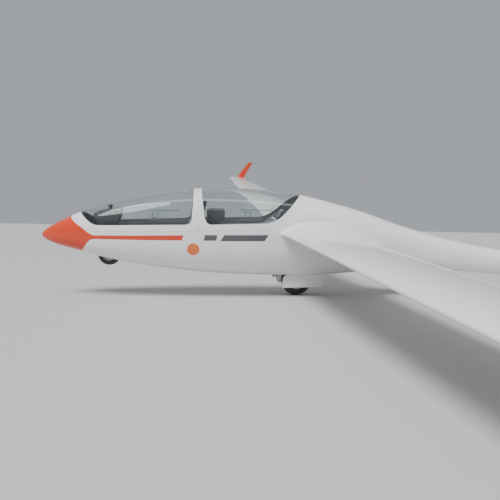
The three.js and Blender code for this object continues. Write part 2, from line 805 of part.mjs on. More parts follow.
// Wheels: each turns on its own axle
// Columns: share of the radius, share of the width from the middle
const TREAD = [
  [0.57, -0.42],
  [0.75, -0.5],
  [0.89, -0.42],
  [0.965, -0.24],
  [1, -0.05],
];
const HUB = [
  [0.22, -0.46],
  [0.25, -0.16],
  [0.57, -0.36],
];
function turned(profile, sides) {
  const points = profile.map(([r, y]) => new THREE.Vector2(r, y));
  return outward(indexed(new THREE.LatheGeometry([...points, points[0]], sides)));
}
function wheel(name, w, sides) {
  const pivot = frame(airframe, `hinge_${name}`, v3(w.x, 0, w.z));
  const both = (rows) => [...rows, ...rows.map(([r, y]) => [r, -y]).reverse()];
  const sized = (rows) => rows.map(([r, y]) => [r * w.radius, y * w.width]);
  fix(pivot, `${name}_tyre`, turned(both(sized(TREAD)), sides), RUBBER);
  const rim = sized(HUB).map(([r, y]) => [Math.min(r, 0.57 * w.radius - SEAT), y]);
  const disc = [[w.axle + SEAT, rim[0][1]], ...rim];
  fix(pivot, `${name}_hub`, turned(both(disc), sides), ALLOY);
}
wheel("main_wheel", MAIN_WHEEL, 36);
wheel("nose_wheel", NOSE_WHEEL, 28);
wheel("tail_wheel", TAIL_WHEEL, 24);

const legPlate = (from, to) =>
  prismY(
    [
      [2992, 160, 20],
      [3062, 160, 20],
      [3078, 300],
      [3130, WELL_ROOF - SEAT],
      [2985, WELL_ROOF - SEAT],
      [2976, 300],
    ],
    from,
    to,
  );
const MAIN_AXLE_REACH = 97;
const mainAxle = rod(
  v3(MAIN_WHEEL.x, -MAIN_AXLE_REACH, MAIN_WHEEL.z),
  v3(MAIN_WHEEL.x, MAIN_AXLE_REACH, MAIN_WHEEL.z),
  MAIN_WHEEL.axle,
  16,
);
const leg = join(
  legPlate(80, 92),
  legPlate(-92, -80),
  box(2985, 3130, -92, 92, WELL_ROOF - SEAT - 14, WELL_ROOF - SEAT),
  mainAxle,
);
fix(airframe, "main_gear_leg", leg, STEEL);
const noseReach = 61 - SEAT;
const noseAxle = rod(
  v3(NOSE_WHEEL.x, -noseReach, NOSE_WHEEL.z),
  v3(NOSE_WHEEL.x, noseReach, NOSE_WHEEL.z),
  NOSE_WHEEL.axle,
);
fix(airframe, "nose_wheel_axle", noseAxle, STEEL);
const tailFairing = prismZ(
  [
    [7770, 0, 10],
    [7860, 46, 60],
    [8050, 46, 60],
    [8180, 0, 10],
    [8050, -46, 60],
    [7860, -46, 60],
  ],
  64,
  220,
);
const tailFork = join(
  cut(tailFairing, tailWell, hull(7000, FUSELAGE_END, -SEAT)),
  rod(v3(TAIL_WHEEL.x, -42, TAIL_WHEEL.z), v3(TAIL_WHEEL.x, 42, TAIL_WHEEL.z), TAIL_WHEEL.axle),
);
fix(airframe, "tail_wheel_fork", tailFork, WHITE);
const towBeak = [
  [2772, 300],
  [2766, 240],
  [2776, 196],
  [2798, 160],
  [2806, 166],
  [2790, 200],
  [2786, 240],
  [2792, 300],
];
const towHook = cut(
  join(box(2716, 2782, -18, 18, 232, 320), prismY(towBeak, -17, -9), prismY(towBeak, 9, 17)),
  hull(2600, 3000, -SEAT),
);
fix(airframe, "tow_hook", towHook, STEEL);

// Cockpit fittings
const liner = hull(340, 3140, WALL + SEAT);
const PAN_FRONT = [
  [1000, 604],
  [1100, 584, 30],
  [1410, 492, 60],
  [1500, 520],
  [1508, 506],
  [1420, 466, 60],
  [1090, 562, 30],
  [1000, 582],
];
const PAN_REAR = [
  [2045, 700],
  [2190, 664, 30],
  [2390, 600, 40],
  [2470, 622],
  [2478, 608],
  [2400, 578, 40],
  [2180, 642, 30],
  [2045, 678],
];
const BACK_FRONT = [
  [1500.27, 520.16],
  [1508.27, 506.16],
  [1822, 1000],
  [1800, 1010],
];
const BACK_REAR = [
  [2470.27, 622.16],
  [2478.27, 608.16],
  [2740, 950],
  [2718, 960],
];
const REST_FRONT = [
  [1800.12, 1010.27],
  [1822.12, 1000.27],
  [1859, 1041, 12],
  [1885, 1147, 14],
  [1846, 1158, 14],
];
const REST_REAR = [
  [2718.12, 960.27],
  [2740.12, 950.27],
  [2777, 975, 12],
  [2822, 1062, 14],
  [2786, 1078, 14],
];
const CUSHION_FRONT = [
  [1094, 574],
  [1412, 486],
  [1478, 508],
  [1494, 524],
  [1520, 540],
  [1790, 972],
  [1750, 992, 18],
  [1473, 555, 40],
  [1405, 534, 40],
  [1125, 614, 20],
  [1096, 604, 8],
];
const CUSHION_REAR = [
  [2152, 661],
  [2190, 653],
  [2394, 594],
  [2450, 609],
  [2464, 627],
  [2492, 642],
  [2706, 925],
  [2655, 945, 18],
  [2445, 659, 35],
  [2388, 645, 35],
  [2203, 704, 20],
  [2156, 708, 8],
];
const SEAT_HALF_WIDTH = 205;
const CUSHION_HALF_WIDTH = 196;
const REST_HALF_WIDTH = 65;
const seats = {
  front: { pan: PAN_FRONT, back: BACK_FRONT, rest: REST_FRONT, pad: CUSHION_FRONT },
  rear: { pan: PAN_REAR, back: BACK_REAR, rest: REST_REAR, pad: CUSHION_REAR },
};
// Sticks: foot, knee and head, from the side
const STICKS = {
  front: [[1040, 583], [1046, 700], [1018, 860]],
  rear: [[2085, 679], [2090, 760], [2068, 862]],
};
const STICK_BOOT = 34;
for (const [end, seat] of Object.entries(seats)) {
  const pan = prismY(seat.pan, ...SIDES);
  const back = prismY(seat.back, -SEAT_HALF_WIDTH, SEAT_HALF_WIDTH);
  fix(airframe, `seat_pan_${end}`, common(liner, pan), LINER);
  fix(airframe, `seat_back_${end}`, back, LINER);
  fix(airframe, `headrest_${end}`, prismY(seat.rest, -REST_HALF_WIDTH, REST_HALF_WIDTH), FABRIC);
  const overPan = pan.clone().translate(0, 0, SEAT);
  const pad = cut(
    prismY(seat.pad, -CUSHION_HALF_WIDTH, CUSHION_HALF_WIDTH),
    overPan,
    back.clone().translate(-SEAT, 0, SEAT),
  );
  fix(airframe, `seat_cushion_${end}`, pad, FABRIC);
  const [foot, knee, head] = STICKS[end].map(([x, z]) => v3(x, 0, z));
  const stick = join(
    rod(foot, foot.clone().add(v3(0, 0, 42)), STICK_BOOT, 12),
    rod(foot, knee, 11),
    rod(knee.clone().add(v3(1, 0, -6)), head, 11),
    rod(head.clone().lerp(knee, 0.65), head, 17),
  );
  fix(airframe, `control_stick_${end}`, cut(stick, overPan), STEEL);
}
const POD_FRONT = [
  [592, 972, 8],
  [612, 1000, 12],
  [742, 1032, 20],
  [905, 1040, 10],
  [884, 930],
  [850, 862],
  [640, 862],
];
const POD_REAR = [
  [1888, 1040, 12],
  [1940, 1056, 12],
  [2096, 1056, 8],
  [2092, 950],
  [2030, 880],
  [1900, 880],
];
const podFront = prismY(POD_FRONT, -125, 125);
fix(airframe, "instrument_pod_front", podFront, PANEL_BLACK);
fix(airframe, "instrument_pod_rear", prismY(POD_REAR, -125, 125), PANEL_BLACK);
fix(airframe, "pedestal_front", box(680, 820, -60, 60, NOSE_BOX.z + SEAT, 862 - SEAT), PANEL_BLACK);
const pedestalRear = common(box(1906, 2010, -55, 55, 200, 880 - SEAT), liner);
fix(airframe, "pedestal_rear", pedestalRear, PANEL_BLACK);
const compassBall = indexed(new THREE.SphereGeometry(27, 16, 10).translate(768, 0, 1066));
const compass = cut(
  join(compassBall, rod(v3(768, 0, 1020), v3(768, 0, 1050), 15, 12)),
  podFront.clone().translate(0, 0, SEAT),
);
fix(airframe, "compass", compass, PANEL_BLACK);

// Rudder pedals: two plates on a tube that lies on the nose box, or against the rear pedestal
function pedals(x, z, inner, reach) {
  const plate = (y) => box(x - 4, x + 4, y - 34, y + 34, z - 66, z + 84);
  const tube = rod(v3(x, -reach, z), v3(x, reach, z), 9);
  return join(tube, plate(inner), plate(-inner));
}
fix(airframe, "rudder_pedals_front", pedals(872, NOSE_BOX.z + SEAT + 9, 112, 150), STEEL);
fix(airframe, "rudder_pedals_rear", pedals(1906 - SEAT - 9, 650, 106, 144), STEEL);

// Ledges along both walls, for the levers and the pilots' arms
const LEDGE = [
  [1090, 645],
  [1760, 645],
  [2060, 714],
  [2600, 714],
  [2600, 757, 12],
  [2050, 757],
  [1750, 692],
  [1090, 688, 12],
];
const LEDGE_IN = 214;
for (const [side, from, to] of [["right", LEDGE_IN, 600], ["left", -600, -LEDGE_IN]]) {
  fix(airframe, `console_${side}`, common(liner, prismY(LEDGE, from, to)), LINER);
}

// The origin is under the middle of the whole glider's box, on the ground
glider.rotation.z = Math.PI;
glider.updateMatrixWorld(true);
const whole = new THREE.Box3().setFromObject(glider, true);
glider.position.set(-(whole.min.x + whole.max.x) / 2, -(whole.min.y + whole.max.y) / 2, -whole.min.z);
glider.updateMatrixWorld(true);
export default glider;
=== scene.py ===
# %% [markdown]
# # A two-seat sailplane, parked with its left wing tip down
#
# A sailplane is almost all skin: a moulded shell with long, even curves and a mirror-like white
# gelcoat. The CAD model that this lesson loads has the right sizes, joints and weights, but its
# skins are made of large facets. Here each skin is laid again over the same tables of sizes with
# many small faces, and every piece gets a finish that is worked out by shader nodes.
#
# The drawing's own axes are easy to think in: X runs aft from the nose, Y towards the right wing,
# Z up, in millimetres, with the sailplane level. It is parked leaning, so each finished piece is
# turned into the leaning frame of the CAD model at the very end.

import math

import bpy
import numpy as np
from mathutils import Matrix, Vector
from mathutils.bvhtree import BVHTree


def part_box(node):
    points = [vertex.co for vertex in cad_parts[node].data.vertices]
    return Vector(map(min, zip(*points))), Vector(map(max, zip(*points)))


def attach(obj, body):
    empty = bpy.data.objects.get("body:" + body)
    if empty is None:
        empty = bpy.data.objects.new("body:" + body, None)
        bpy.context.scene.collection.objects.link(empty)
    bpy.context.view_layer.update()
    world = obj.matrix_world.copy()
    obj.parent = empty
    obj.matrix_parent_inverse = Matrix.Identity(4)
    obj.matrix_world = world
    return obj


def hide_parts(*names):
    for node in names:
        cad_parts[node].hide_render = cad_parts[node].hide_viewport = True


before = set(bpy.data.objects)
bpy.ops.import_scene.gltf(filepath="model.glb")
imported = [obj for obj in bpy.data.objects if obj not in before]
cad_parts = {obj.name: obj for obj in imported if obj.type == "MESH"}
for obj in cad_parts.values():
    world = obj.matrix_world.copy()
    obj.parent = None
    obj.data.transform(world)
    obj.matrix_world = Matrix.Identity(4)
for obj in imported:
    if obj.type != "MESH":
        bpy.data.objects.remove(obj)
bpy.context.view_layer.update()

# %% [markdown]
# ## From the drawing to the frame
#
# The sailplane leans 7 degrees onto its left wing tip. The whole move from the drawing to the frame
# is one roll, one half turn, and one shift. The shift comes from a part that both know: the middle
# of the main wheel's hub.

# %% Turn drawing points into frame points
LEAN = math.radians(7)
MAIN_AXLE = (3027, 0, 190)


def turned(points):
    x, y, z = np.asarray(points, float).reshape(-1, 3).T
    level_y = y * math.cos(LEAN) - z * math.sin(LEAN)
    level_z = y * math.sin(LEAN) + z * math.cos(LEAN)
    return np.stack([-x, -level_y, level_z], 1)


hub_low, hub_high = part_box("main_wheel_hub")
SHIFT = np.array((hub_low + hub_high) / 2) - turned(MAIN_AXLE)[0] / 1000


def placed(points):
    return turned(points) / 1000 + SHIFT


print("shift in metres", SHIFT.round(4))

# %% [markdown]
# ## Smooth lines through a few measured sizes
#
# A boat builder bends a thin batten through measured points and cuts the frames to it. The helper
# below is that batten: a cubic line through one column of a table that never swings past a point.


# %% A batten through a table
def batten(rows, column):
    x = np.array([row[0] for row in rows], float)
    y = np.array([row[column] for row in rows], float)
    step = np.diff(y) / np.diff(x)
    before, after = step[:-1], step[1:]
    both = np.where(before + after == 0, 1, before + after)
    middle = np.where(before * after > 0, 2 * before * after / both, 0)
    slope = np.concatenate([step[:1], middle, step[-1:]])

    def at(place):
        place = np.asarray(place, float)
        i = np.clip(np.searchsorted(x, place, side="right") - 1, 0, len(x) - 2)
        width = x[i + 1] - x[i]
        t = (place - x[i]) / width
        u = 1 - t
        ends = y[i] * u * u * (1 + 2 * t) + y[i + 1] * t * t * (3 - 2 * t)
        return ends + width * t * u * (slope[i] * u - slope[i + 1] * t)

    return at


def battens(rows):
    """One batten for each column of a table after its first."""
    return [batten(rows, column) for column in range(1, len(rows[0]))]


between = batten([[0, 0], [1, 20], [2, 22]], 1)(1.5)
print("a batten through 0, 20 and 22 passes", round(float(between), 2))


# %% [markdown]
# ## Solids from rings, outlines and rods
#
# Every skin here is a row of rings joined by faces, like the hoops of a barrel. Flat-sided pieces
# are outlines carried sideways, and pins are rods. All of them are closed, so that they can be cut
# with each other cleanly.


# %% Build closed solids
def added(name, data):
    """Puts a mesh, a lamp or a camera into the scene as an object."""
    made = bpy.data.objects.new(name, data)
    bpy.context.scene.collection.objects.link(made)
    return made


def unit(vector):
    return vector / np.linalg.norm(vector)


def solid(points, faces):
    points = np.asarray(points, float)
    mesh = bpy.data.meshes.new("solid")
    mesh.from_pydata(points.tolist(), [], [list(map(int, f)) for f in faces])
    mesh.calc_loop_triangles()
    corners = np.empty(3 * len(mesh.loop_triangles), np.int32)
    mesh.loop_triangles.foreach_get("vertices", corners)
    a, b, c = points[corners.reshape(-1, 3)].transpose(1, 0, 2)
    if np.sum(a * np.cross(b, c)) < 0:
        mesh.flip_normals()
    return added("solid", mesh)


def bridges(rings, around, closed=False):
    """Faces between neighbouring rings; closed also joins the last ring to the first."""
    i = np.arange(around)
    j = (i + 1) % around
    faces = []
    for k in range(rings if closed else rings - 1):
        a = k * around
        b = (k + 1) % rings * around
        faces += np.stack([a + i, a + j, b + j, b + i], 1).tolist()
    return faces


def hoops(rings):
    rings = np.asarray(rings, float)
    count, around = rings.shape[:2]
    points = np.concatenate([rings.reshape(-1, 3), [rings[0].mean(0)], [rings[-1].mean(0)]])
    first_middle = count * around
    last_ring = first_middle - around
    i = np.arange(around)
    j = (i + 1) % around
    faces = bridges(count, around)
    faces += np.stack([0 * i + first_middle, j, i], 1).tolist()
    faces += np.stack([0 * i + first_middle + 1, last_ring + i, last_ring + j], 1).tolist()
    return solid(points, faces)


def closed_hoops(rings):
    """Rings that run back to the first one, such as a tyre's."""
    rings = np.asarray(rings, float)
    return solid(rings.reshape(-1, 3), bridges(*rings.shape[:2], closed=True))


def rounded(corners, steps=8):
    """An outline whose corners may have a third number, their radius."""
    here = [np.array(c[:2], float) for c in corners]
    path = []
    for i, corner in enumerate(corners):
        radius = corner[2] if len(corner) > 2 else 0
        if not radius:
            path.append(here[i])
            continue
        arms = [here[i - 1] - here[i], here[(i + 1) % len(here)] - here[i]]
        start, end = (here[i] + arm * radius / np.linalg.norm(arm) for arm in arms)
        for t in np.linspace(0, 1, steps + 1):
            path.append((1 - t) ** 2 * start + 2 * t * (1 - t) * here[i] + t * t * end)
    return np.array(path)


def slab(corners, low, high, along="y", steps=8):
    path = rounded(corners, steps)
    count = len(path)
    points = np.zeros((2 * count, 3))
    axes = {"y": (0, 2, 1), "z": (0, 1, 2), "x": (1, 2, 0)}[along]
    points[:, axes[0]] = np.tile(path[:, 0], 2)
    points[:, axes[1]] = np.tile(path[:, 1], 2)
    points[:count, axes[2]] = low
    points[count:, axes[2]] = high
    faces = [list(range(count)), list(range(2 * count - 1, count - 1, -1))]
    faces += [[(i + 1) % count, i, i + count, (i + 1) % count + count] for i in range(count)]
    return solid(points, faces)


def block(x0, x1, y0, y1, z0, z1):
    return slab([(x0, z0), (x1, z0), (x1, z1), (x0, z1)], y0, y1)


def rod(start, end, radius, end_radius=None, sides=24):
    start, end = np.array(start, float), np.array(end, float)
    along = unit(end - start)
    across = unit(np.cross(along, (0, 0, 1) if abs(along[2]) < 0.9 else (0, 1, 0)))
    up = np.cross(along, across)
    angle = np.linspace(0, 2 * math.pi, sides, endpoint=False)[:, None]
    hoop = np.cos(angle) * across + np.sin(angle) * up
    last = radius if end_radius is None else end_radius
    return hoops([start + hoop * radius, end + hoop * last])


def cross_rod(x, z, start, end, radius, end_radius=None, sides=24):
    """A rod across the sailplane, from one Y to another."""
    return rod((x, start, z), (x, end, z), radius, end_radius, sides)


print("points round one rounded corner", len(rounded([(0, 0), (9, 0, 3), (9, 9)])) - 2)


# %% [markdown]
# ## Cutting and joining
#
# Windows, wheel wells and control gaps are cut out with Blender's Boolean modifier. Its Manifold
# solver is quick and exact on closed solids. The modifier's result is kept and the tool is thrown
# away, so nothing is left to work out later.


# %% Cut, join and keep what is common
def settled(body):
    """Makes what the modifiers show the body's own mesh."""
    shown = body.evaluated_get(bpy.context.evaluated_depsgraph_get())
    made = bpy.data.meshes.new_from_object(shown)
    body.modifiers.clear()
    old = body.data
    body.data = made
    bpy.data.meshes.remove(old)
    return body


def drop(*bodies):
    for body in bodies:
        bpy.data.meshes.remove(body.data)


def combine(body, tool, how):
    before = len(body.data.polygons)
    modifier = body.modifiers.new("step", "BOOLEAN")
    modifier.solver = "MANIFOLD"
    modifier.operation = how
    modifier.object = tool
    settled(body)
    drop(tool)
    if not len(body.data.polygons):
        raise RuntimeError(f"{how} left nothing of a body of {before} faces")
    return body


def cut(body, *tools):
    for tool in tools:
        combine(body, tool, "DIFFERENCE")
    return body


def join(body, *others):
    for other in others:
        combine(body, other, "UNION")
    return body


def common(body, tool):
    return combine(body, tool, "INTERSECT")


def copy_of(body):
    return added("solid", body.data.copy())


def moved(body, matrix):
    body.data.transform(Matrix(matrix))
    if Matrix(matrix).determinant() < 0:
        body.data.flip_normals()
    return body


def softened(body, width, segments=3, angle=40):
    """Rounds every edge sharper than angle."""
    modifier = body.modifiers.new("edges", "BEVEL")
    modifier.width = width
    modifier.segments = segments
    modifier.limit_method = "ANGLE"
    modifier.angle_limit = math.radians(angle)
    return settled(body)


def many(*bodies):
    """Puts bodies that don't touch into one mesh."""
    points, faces = [], []
    for body in bodies:
        start = len(points)
        points += [v.co.copy() for v in body.data.vertices]
        faces += [[start + i for i in face.vertices] for face in body.data.polygons]
        drop(body)
    mesh = bpy.data.meshes.new("solid")
    mesh.from_pydata(points, [], faces)
    return added("solid", mesh)


MIRROR = Matrix.Diagonal((1, -1, 1, 1))
sample = cut(block(0, 9, 0, 9, 0, 9), block(3, 6, -1, 10, 3, 6))
print("faces of a block with a square hole", len(sample.data.polygons))
drop(sample)

# %% [markdown]
# ## Finishes
#
# Every finish is worked out by nodes from places on the real object. Pieces sit in the leaning frame,
# so the first nodes turn a place back into the drawing's axes, in metres. A stripe painted at
# 0.75 m above the ground line is then simply "Z above 0.75".
#
# Chains of Math nodes are hard to read, so a small class stands for a value that nodes work out. It
# adds, multiplies and compares like a plain number, and each step leaves one Math node behind.


# %% Values that shader nodes work out
class Value:
    """What a node gives at every place of a surface."""

    def __init__(self, socket):
        self.socket = socket
        self.tree = socket.id_data

    def worked(self, operation, other=0.0):
        made = node(self.tree, "ShaderNodeMath", i0=self, i1=other)
        made.operation = operation
        return Value(made.outputs[0])

    def __add__(self, other):
        return self.worked("ADD", other)

    def __sub__(self, other):
        return self.worked("SUBTRACT", other)

    def __mul__(self, other):
        return self.worked("MULTIPLY", other)

    def __pow__(self, other):
        return self.worked("POWER", other)

    def __lt__(self, other):
        return self.worked("LESS_THAN", other)

    def __gt__(self, other):
        return self.worked("GREATER_THAN", other)

    def __and__(self, other):
        return self.worked("MULTIPLY", other)

    def __or__(self, other):
        return self.worked("MAXIMUM", other)


def fill(socket, value):
    """Gives a socket a worked-out value or a plain one."""
    if isinstance(value, Value):
        value.tree.links.new(value.socket, socket)
    else:
        socket.default_value = value


def node(tree, kind, **inputs):
    """A node whose inputs go by name, with _ for a space, or by number as i0, i1."""
    made = tree.nodes.new(kind)
    for key, value in inputs.items():
        fill(made.inputs[int(key[1:]) if key[1:].isdigit() else key.replace("_", " ")], value)
    return made


def drawing_place(tree):
    seen = tree.nodes.new("ShaderNodeTexCoord").outputs["Object"]
    turn = Matrix.Rotation(math.pi, 3, "Z") @ Matrix.Rotation(LEAN, 3, "X")
    back = turn.inverted()
    made = node(tree, "ShaderNodeMapping", Vector=Value(seen), Location=back @ Vector(-SHIFT))
    made.inputs["Rotation"].default_value = back.to_euler("XYZ")
    return Value(made.outputs[0])


def x_y_z(place):
    made = node(place.tree, "ShaderNodeSeparateXYZ", Vector=place)
    return [Value(output) for output in made.outputs]


def noise(place, scale, detail=3.0, rough=0.5):
    made = node(place.tree, "ShaderNodeTexNoise", Vector=place, Scale=scale, Detail=detail, Roughness=rough)
    return Value(made.outputs["Fac"])


def ramp(value, low, high, out_low=0.0, out_high=1.0):
    ends = {"From_Min": low, "From_Max": high, "To_Min": out_low, "To_Max": out_high}
    return Value(node(value.tree, "ShaderNodeMapRange", Value=value, **ends).outputs[0])


def blend(share, first, second):
    made = share.tree.nodes.new("ShaderNodeMix")
    made.data_type = "RGBA"
    for number, value in ((0, share), (6, first), (7, second)):
        fill(made.inputs[number], value)
    return Value(made.outputs[2])


# %% A finish, its wear and its fine bumps
def finish(name, colour, roughness, metal=0.0, coat=0.0):
    made = bpy.data.materials.new(name)
    made.use_nodes = True
    shader = made.node_tree.nodes["Principled BSDF"]
    shader.inputs["Base Color"].default_value = (*colour, 1)
    shader.inputs["Roughness"].default_value = roughness
    shader.inputs["Metallic"].default_value = metal
    shader.inputs["Coat Weight"].default_value = coat
    shader.inputs["Coat Roughness"].default_value = 0.04
    return made, shader


def bumped(shader, height, distance):
    made = node(height.tree, "ShaderNodeBump", Height=height, Distance=distance, Strength=1.0)
    fill(shader.inputs["Normal"], Value(made.outputs[0]))


def worn(shader, place, colour, spread, roughness, scale):
    """Lets colour and roughness drift a little over the surface."""
    drift = noise(place, scale, 5.0, 0.6)
    darker = tuple(c * (1 - spread) for c in colour)
    tone = blend(ramp(drift, 0.35, 0.7), (*colour, 1), (*darker, 1))
    fill(shader.inputs["Base Color"], tone)
    fill(shader.inputs["Roughness"], ramp(drift, 0.3, 0.75, *roughness))
    return tone


# %% [markdown]
# ## Gelcoat: white, red and grey
#
# A moulded sailplane has no paint but a thick polished gelcoat, so it is white all through, very
# smooth and faintly wavy where the cloth underneath prints through. The red nose, the stripes and the
# disc are sprayed on. They could be an image, but a few comparisons of X and Z give razor-sharp edges
# at any distance, on both sides of the fuselage at once.

# %% Plain gelcoat
WHITE = (0.86, 0.865, 0.855)
RED = (0.66, 0.05, 0.012)
STRIPE_GREY = (0.085, 0.088, 0.098)
DISC_ORANGE = (0.8, 0.17, 0.035)


def gelcoat(name, colour):
    made, shader = finish(name, colour, 0.2, coat=0.5)
    place = drawing_place(shader.id_data)
    tone = worn(shader, place, colour, 0.035, (0.16, 0.26), 2.3)
    waves = noise(place, 5.0, 2.0)
    grain = noise(place, 420.0, 2.0)
    bumped(shader, waves * 6.0 + grain * 0.05, 0.0002)
    return made, shader, place, tone


WHITE_GELCOAT = gelcoat("white_gelcoat", WHITE)[0]
RED_GELCOAT = gelcoat("red_gelcoat", RED)[0]
print("nodes in plain gelcoat", len(WHITE_GELCOAT.node_tree.nodes))

# %% The markings on the fuselage, in metres of the drawing
# Points of the red nose's upper and lower edge: X, Z; the first two are the ends
NOSE_TOP = [
    (0.3, 0.985),
    (0.7, 0.72),
    (0.332, 0.948),
    (0.399, 0.887),
    (0.491, 0.83),
    (0.558, 0.781),
    (0.622, 0.753),
]
NOSE_LOW = [
    (0.44, 0.46),
    (0.7, 0.76),
    (0.488, 0.585),
    (0.512, 0.621),
    (0.551, 0.673),
    (0.587, 0.703),
    (0.633, 0.716),
]
ALL_RED_AHEAD = 0.31
DISC_X, DISC_Z, DISC_RADIUS = 1.728, 0.628, 0.07
# Columns: front, rear, top at front and rear, foot at front and rear, lean of the ends
GREY_BANDS = [
    (2.03, 2.537, 0.8, 0.808, 0.728, 0.736, 0.62),
    (1.842, 1.985, 0.796, 0.799, 0.731, 0.734, 0.2),
]


def curved_line(x, points):
    """The Z of a curved edge at each X, drawn by a Float Curve."""
    start, end = points[0][0], points[1][0]
    made = node(x.tree, "ShaderNodeFloatCurve", Value=ramp(x, start, end))
    line = made.mapping.curves[0]
    for k, (px, pz) in enumerate(points):
        spot = ((px - start) / (end - start), pz)
        if k < 2:
            line.points[0 if k == 0 else len(line.points) - 1].location = spot
        else:
            line.points.new(*spot)
    made.mapping.update()
    return Value(made.outputs[0])


def straight_line(x, start, end):
    slope = (end[1] - start[1]) / (end[0] - start[0])
    return x * slope + (start[1] - slope * start[0])


def fuselage_gelcoat():
    made, shader, place, tone = gelcoat("fuselage_gelcoat", WHITE)
    x, _, z = x_y_z(place)
    top = curved_line(x, NOSE_TOP).worked("MAXIMUM", x * 0.0342 + 0.7337)
    low = curved_line(x, NOSE_LOW).worked("MINIMUM", x * 0.0143 + 0.7051)
    stripe_end = (z - 0.728) * 0.26 + 1.601
    red = (x < ALL_RED_AHEAD) | ((z < top) & (z > low) & (x < stripe_end))

    def band(x0, x1, top0, top1, low0, low1, lean):
        shifted = x - (z - low0) * lean
        between = (shifted > x0) & (shifted < x1)
        over = z < straight_line(x, (x0, top0), (x1, top1))
        under = z > straight_line(x, (x0, low0), (x1, low1))
        return between & over & under

    grey = band(*GREY_BANDS[0]) | band(*GREY_BANDS[1])
    disc = (x - DISC_X) ** 2.0 + (z - DISC_Z) ** 2.0 < DISC_RADIUS**2
    for mask, colour in ((grey, STRIPE_GREY), (disc, DISC_ORANGE), (red, RED)):
        tone = blend(mask, tone, (*colour, 1))
    fill(shader.inputs["Base Color"], tone)
    return made


FUSELAGE_GELCOAT = fuselage_gelcoat()
print("nodes in the fuselage's finish", len(FUSELAGE_GELCOAT.node_tree.nodes))

# %% [markdown]
# ## Acrylic, rubber, metal and cloth
#
# The canopies are clear acrylic, 4 mm thick with a faint blue-green tint. It is real thickness with
# real refraction, and its object casts no shadow, so the lamps reach the seats as they would.
# Rubber is dull and dusty, the wheels are brushed alloy, and the seats wear a coarse dark weave.

# %% Acrylic
ACRYLIC, acrylic_shader = finish("canopy_acrylic", (0.93, 0.975, 0.97), 0.02)
acrylic_shader.inputs["Transmission Weight"].default_value = 1.0
acrylic_shader.inputs["IOR"].default_value = 1.49
print("acrylic bends light by", round(acrylic_shader.inputs["IOR"].default_value, 2))


# %% Rubber, metals and plastics
def plain(name, colour, roughness, metal=0.0, spread=0.12, scale=18.0, grain=(600.0, 0.0001)):
    """grain: how fine the surface's bumps are, and how high in metres."""
    made, shader = finish(name, colour, roughness, metal)
    place = drawing_place(shader.id_data)
    worn(shader, place, colour, spread, (roughness * 0.85, min(1.0, roughness * 1.2)), scale)
    bumped(shader, noise(place, grain[0], 3.0), grain[1])
    return made


RUBBER = plain("tyre_rubber", (0.028, 0.028, 0.03), 0.75, spread=-0.7, scale=30.0, grain=(900.0, 0.0002))
ALLOY = plain("wheel_alloy", (0.62, 0.63, 0.64), 0.35, metal=1.0)
STEEL = plain("gear_steel", (0.3, 0.31, 0.33), 0.42, metal=0.9)
DARK_STEEL = plain("hinge_steel", (0.07, 0.07, 0.072), 0.4, metal=0.8)
VENT_GREY = plain("vent_grey", (0.5, 0.47, 0.45), 0.45)
POLISHED = plain("polished_steel", (0.7, 0.7, 0.71), 0.18, metal=1.0, spread=0.05)
LINER = plain("cockpit_liner", (0.16, 0.163, 0.168), 0.6, spread=0.08, scale=9.0, grain=(350.0, 0.0004))
SHELL_GREY = plain(
    "seat_shell_grey", (0.42, 0.425, 0.43), 0.45, spread=0.1, scale=14.0, grain=(500.0, 0.0003)
)
RED_PLASTIC = plain("red_plastic", (0.5, 0.03, 0.02), 0.35)
BLUE_PLASTIC = plain("blue_plastic", (0.03, 0.09, 0.4), 0.35)
GREEN_PLASTIC = plain("green_plastic", (0.05, 0.3, 0.09), 0.35)
YELLOW_PLASTIC = plain("yellow_plastic", (0.75, 0.5, 0.03), 0.35)
GRIP_BLACK = plain(
    "grip_rubber", (0.022, 0.022, 0.023), 0.6, spread=-0.5, scale=40.0, grain=(800.0, 0.0003)
)
DIAL_BLACK = plain("dial_black", (0.012, 0.012, 0.013), 0.35, spread=-0.2)
MARK_WHITE = plain("mark_white", (0.8, 0.8, 0.77), 0.5, spread=0.05)
SCREEN = plain("screen_grey", (0.12, 0.15, 0.13), 0.15, spread=0.1)
RAIL_DARK = plain("rail_plastic", (0.05, 0.052, 0.05), 0.3, spread=0.1)
# Painted shade: this dark grey stands for shade on the canopy frames' edges and inside; on the dial bezels it
# is their own colour.
FRAME_SHADE_AND_BEZEL_GREY = plain("frame_shade_and_bezel_grey", (0.09, 0.09, 0.095), 0.55, spread=0.2)
PANEL_BLACK = plain("panel_black", (0.03, 0.031, 0.034), 0.5, spread=-0.3, grain=(700.0, 0.0002))
BRAKE_METAL = plain("airbrake_metal", (0.55, 0.56, 0.57), 0.38, metal=0.9)
SKID_BLACK = plain("skid_plastic", (0.035, 0.035, 0.037), 0.6, spread=-0.5)
print("finishes so far", len(bpy.data.materials))


# %% Woven cloth
def weave(name, colour, pitch):
    """pitch: the distance between threads, in metres."""
    made, shader = finish(name, colour, 0.9)
    shader.inputs["Sheen Weight"].default_value = 0.1
    place = drawing_place(shader.id_data)
    x, y, z = x_y_z(place)
    warp = (y * (2 * math.pi / pitch)).worked("SINE")
    weft = ((x + z) * (2 * math.pi / pitch)).worked("SINE")
    thread = warp * weft
    light = tuple(c * 1.7 for c in colour)
    faded = tuple(c * 2.4 for c in colour)
    tone = blend(ramp(thread, -1, 1), (*colour, 1), (*light, 1))
    rubbed = ramp(noise(place, 12.0, 4.0), 0.4, 0.75, 0.0, 0.35)
    fill(shader.inputs["Base Color"], blend(rubbed, tone, (*faded, 1)))
    bumped(shader, thread, 0.0004)
    return made


SEAT_CLOTH = weave("seat_cloth", (0.045, 0.05, 0.065), 0.005)
REST_CLOTH = weave("headrest_cloth", (0.03, 0.03, 0.033), 0.004)
PIPING_CLOTH = weave("piping_cloth", (0.09, 0.095, 0.11), 0.003)
BELT_CLOTH = weave("belt_webbing", (0.06, 0.075, 0.12), 0.003)
print("finishes", len(bpy.data.materials))

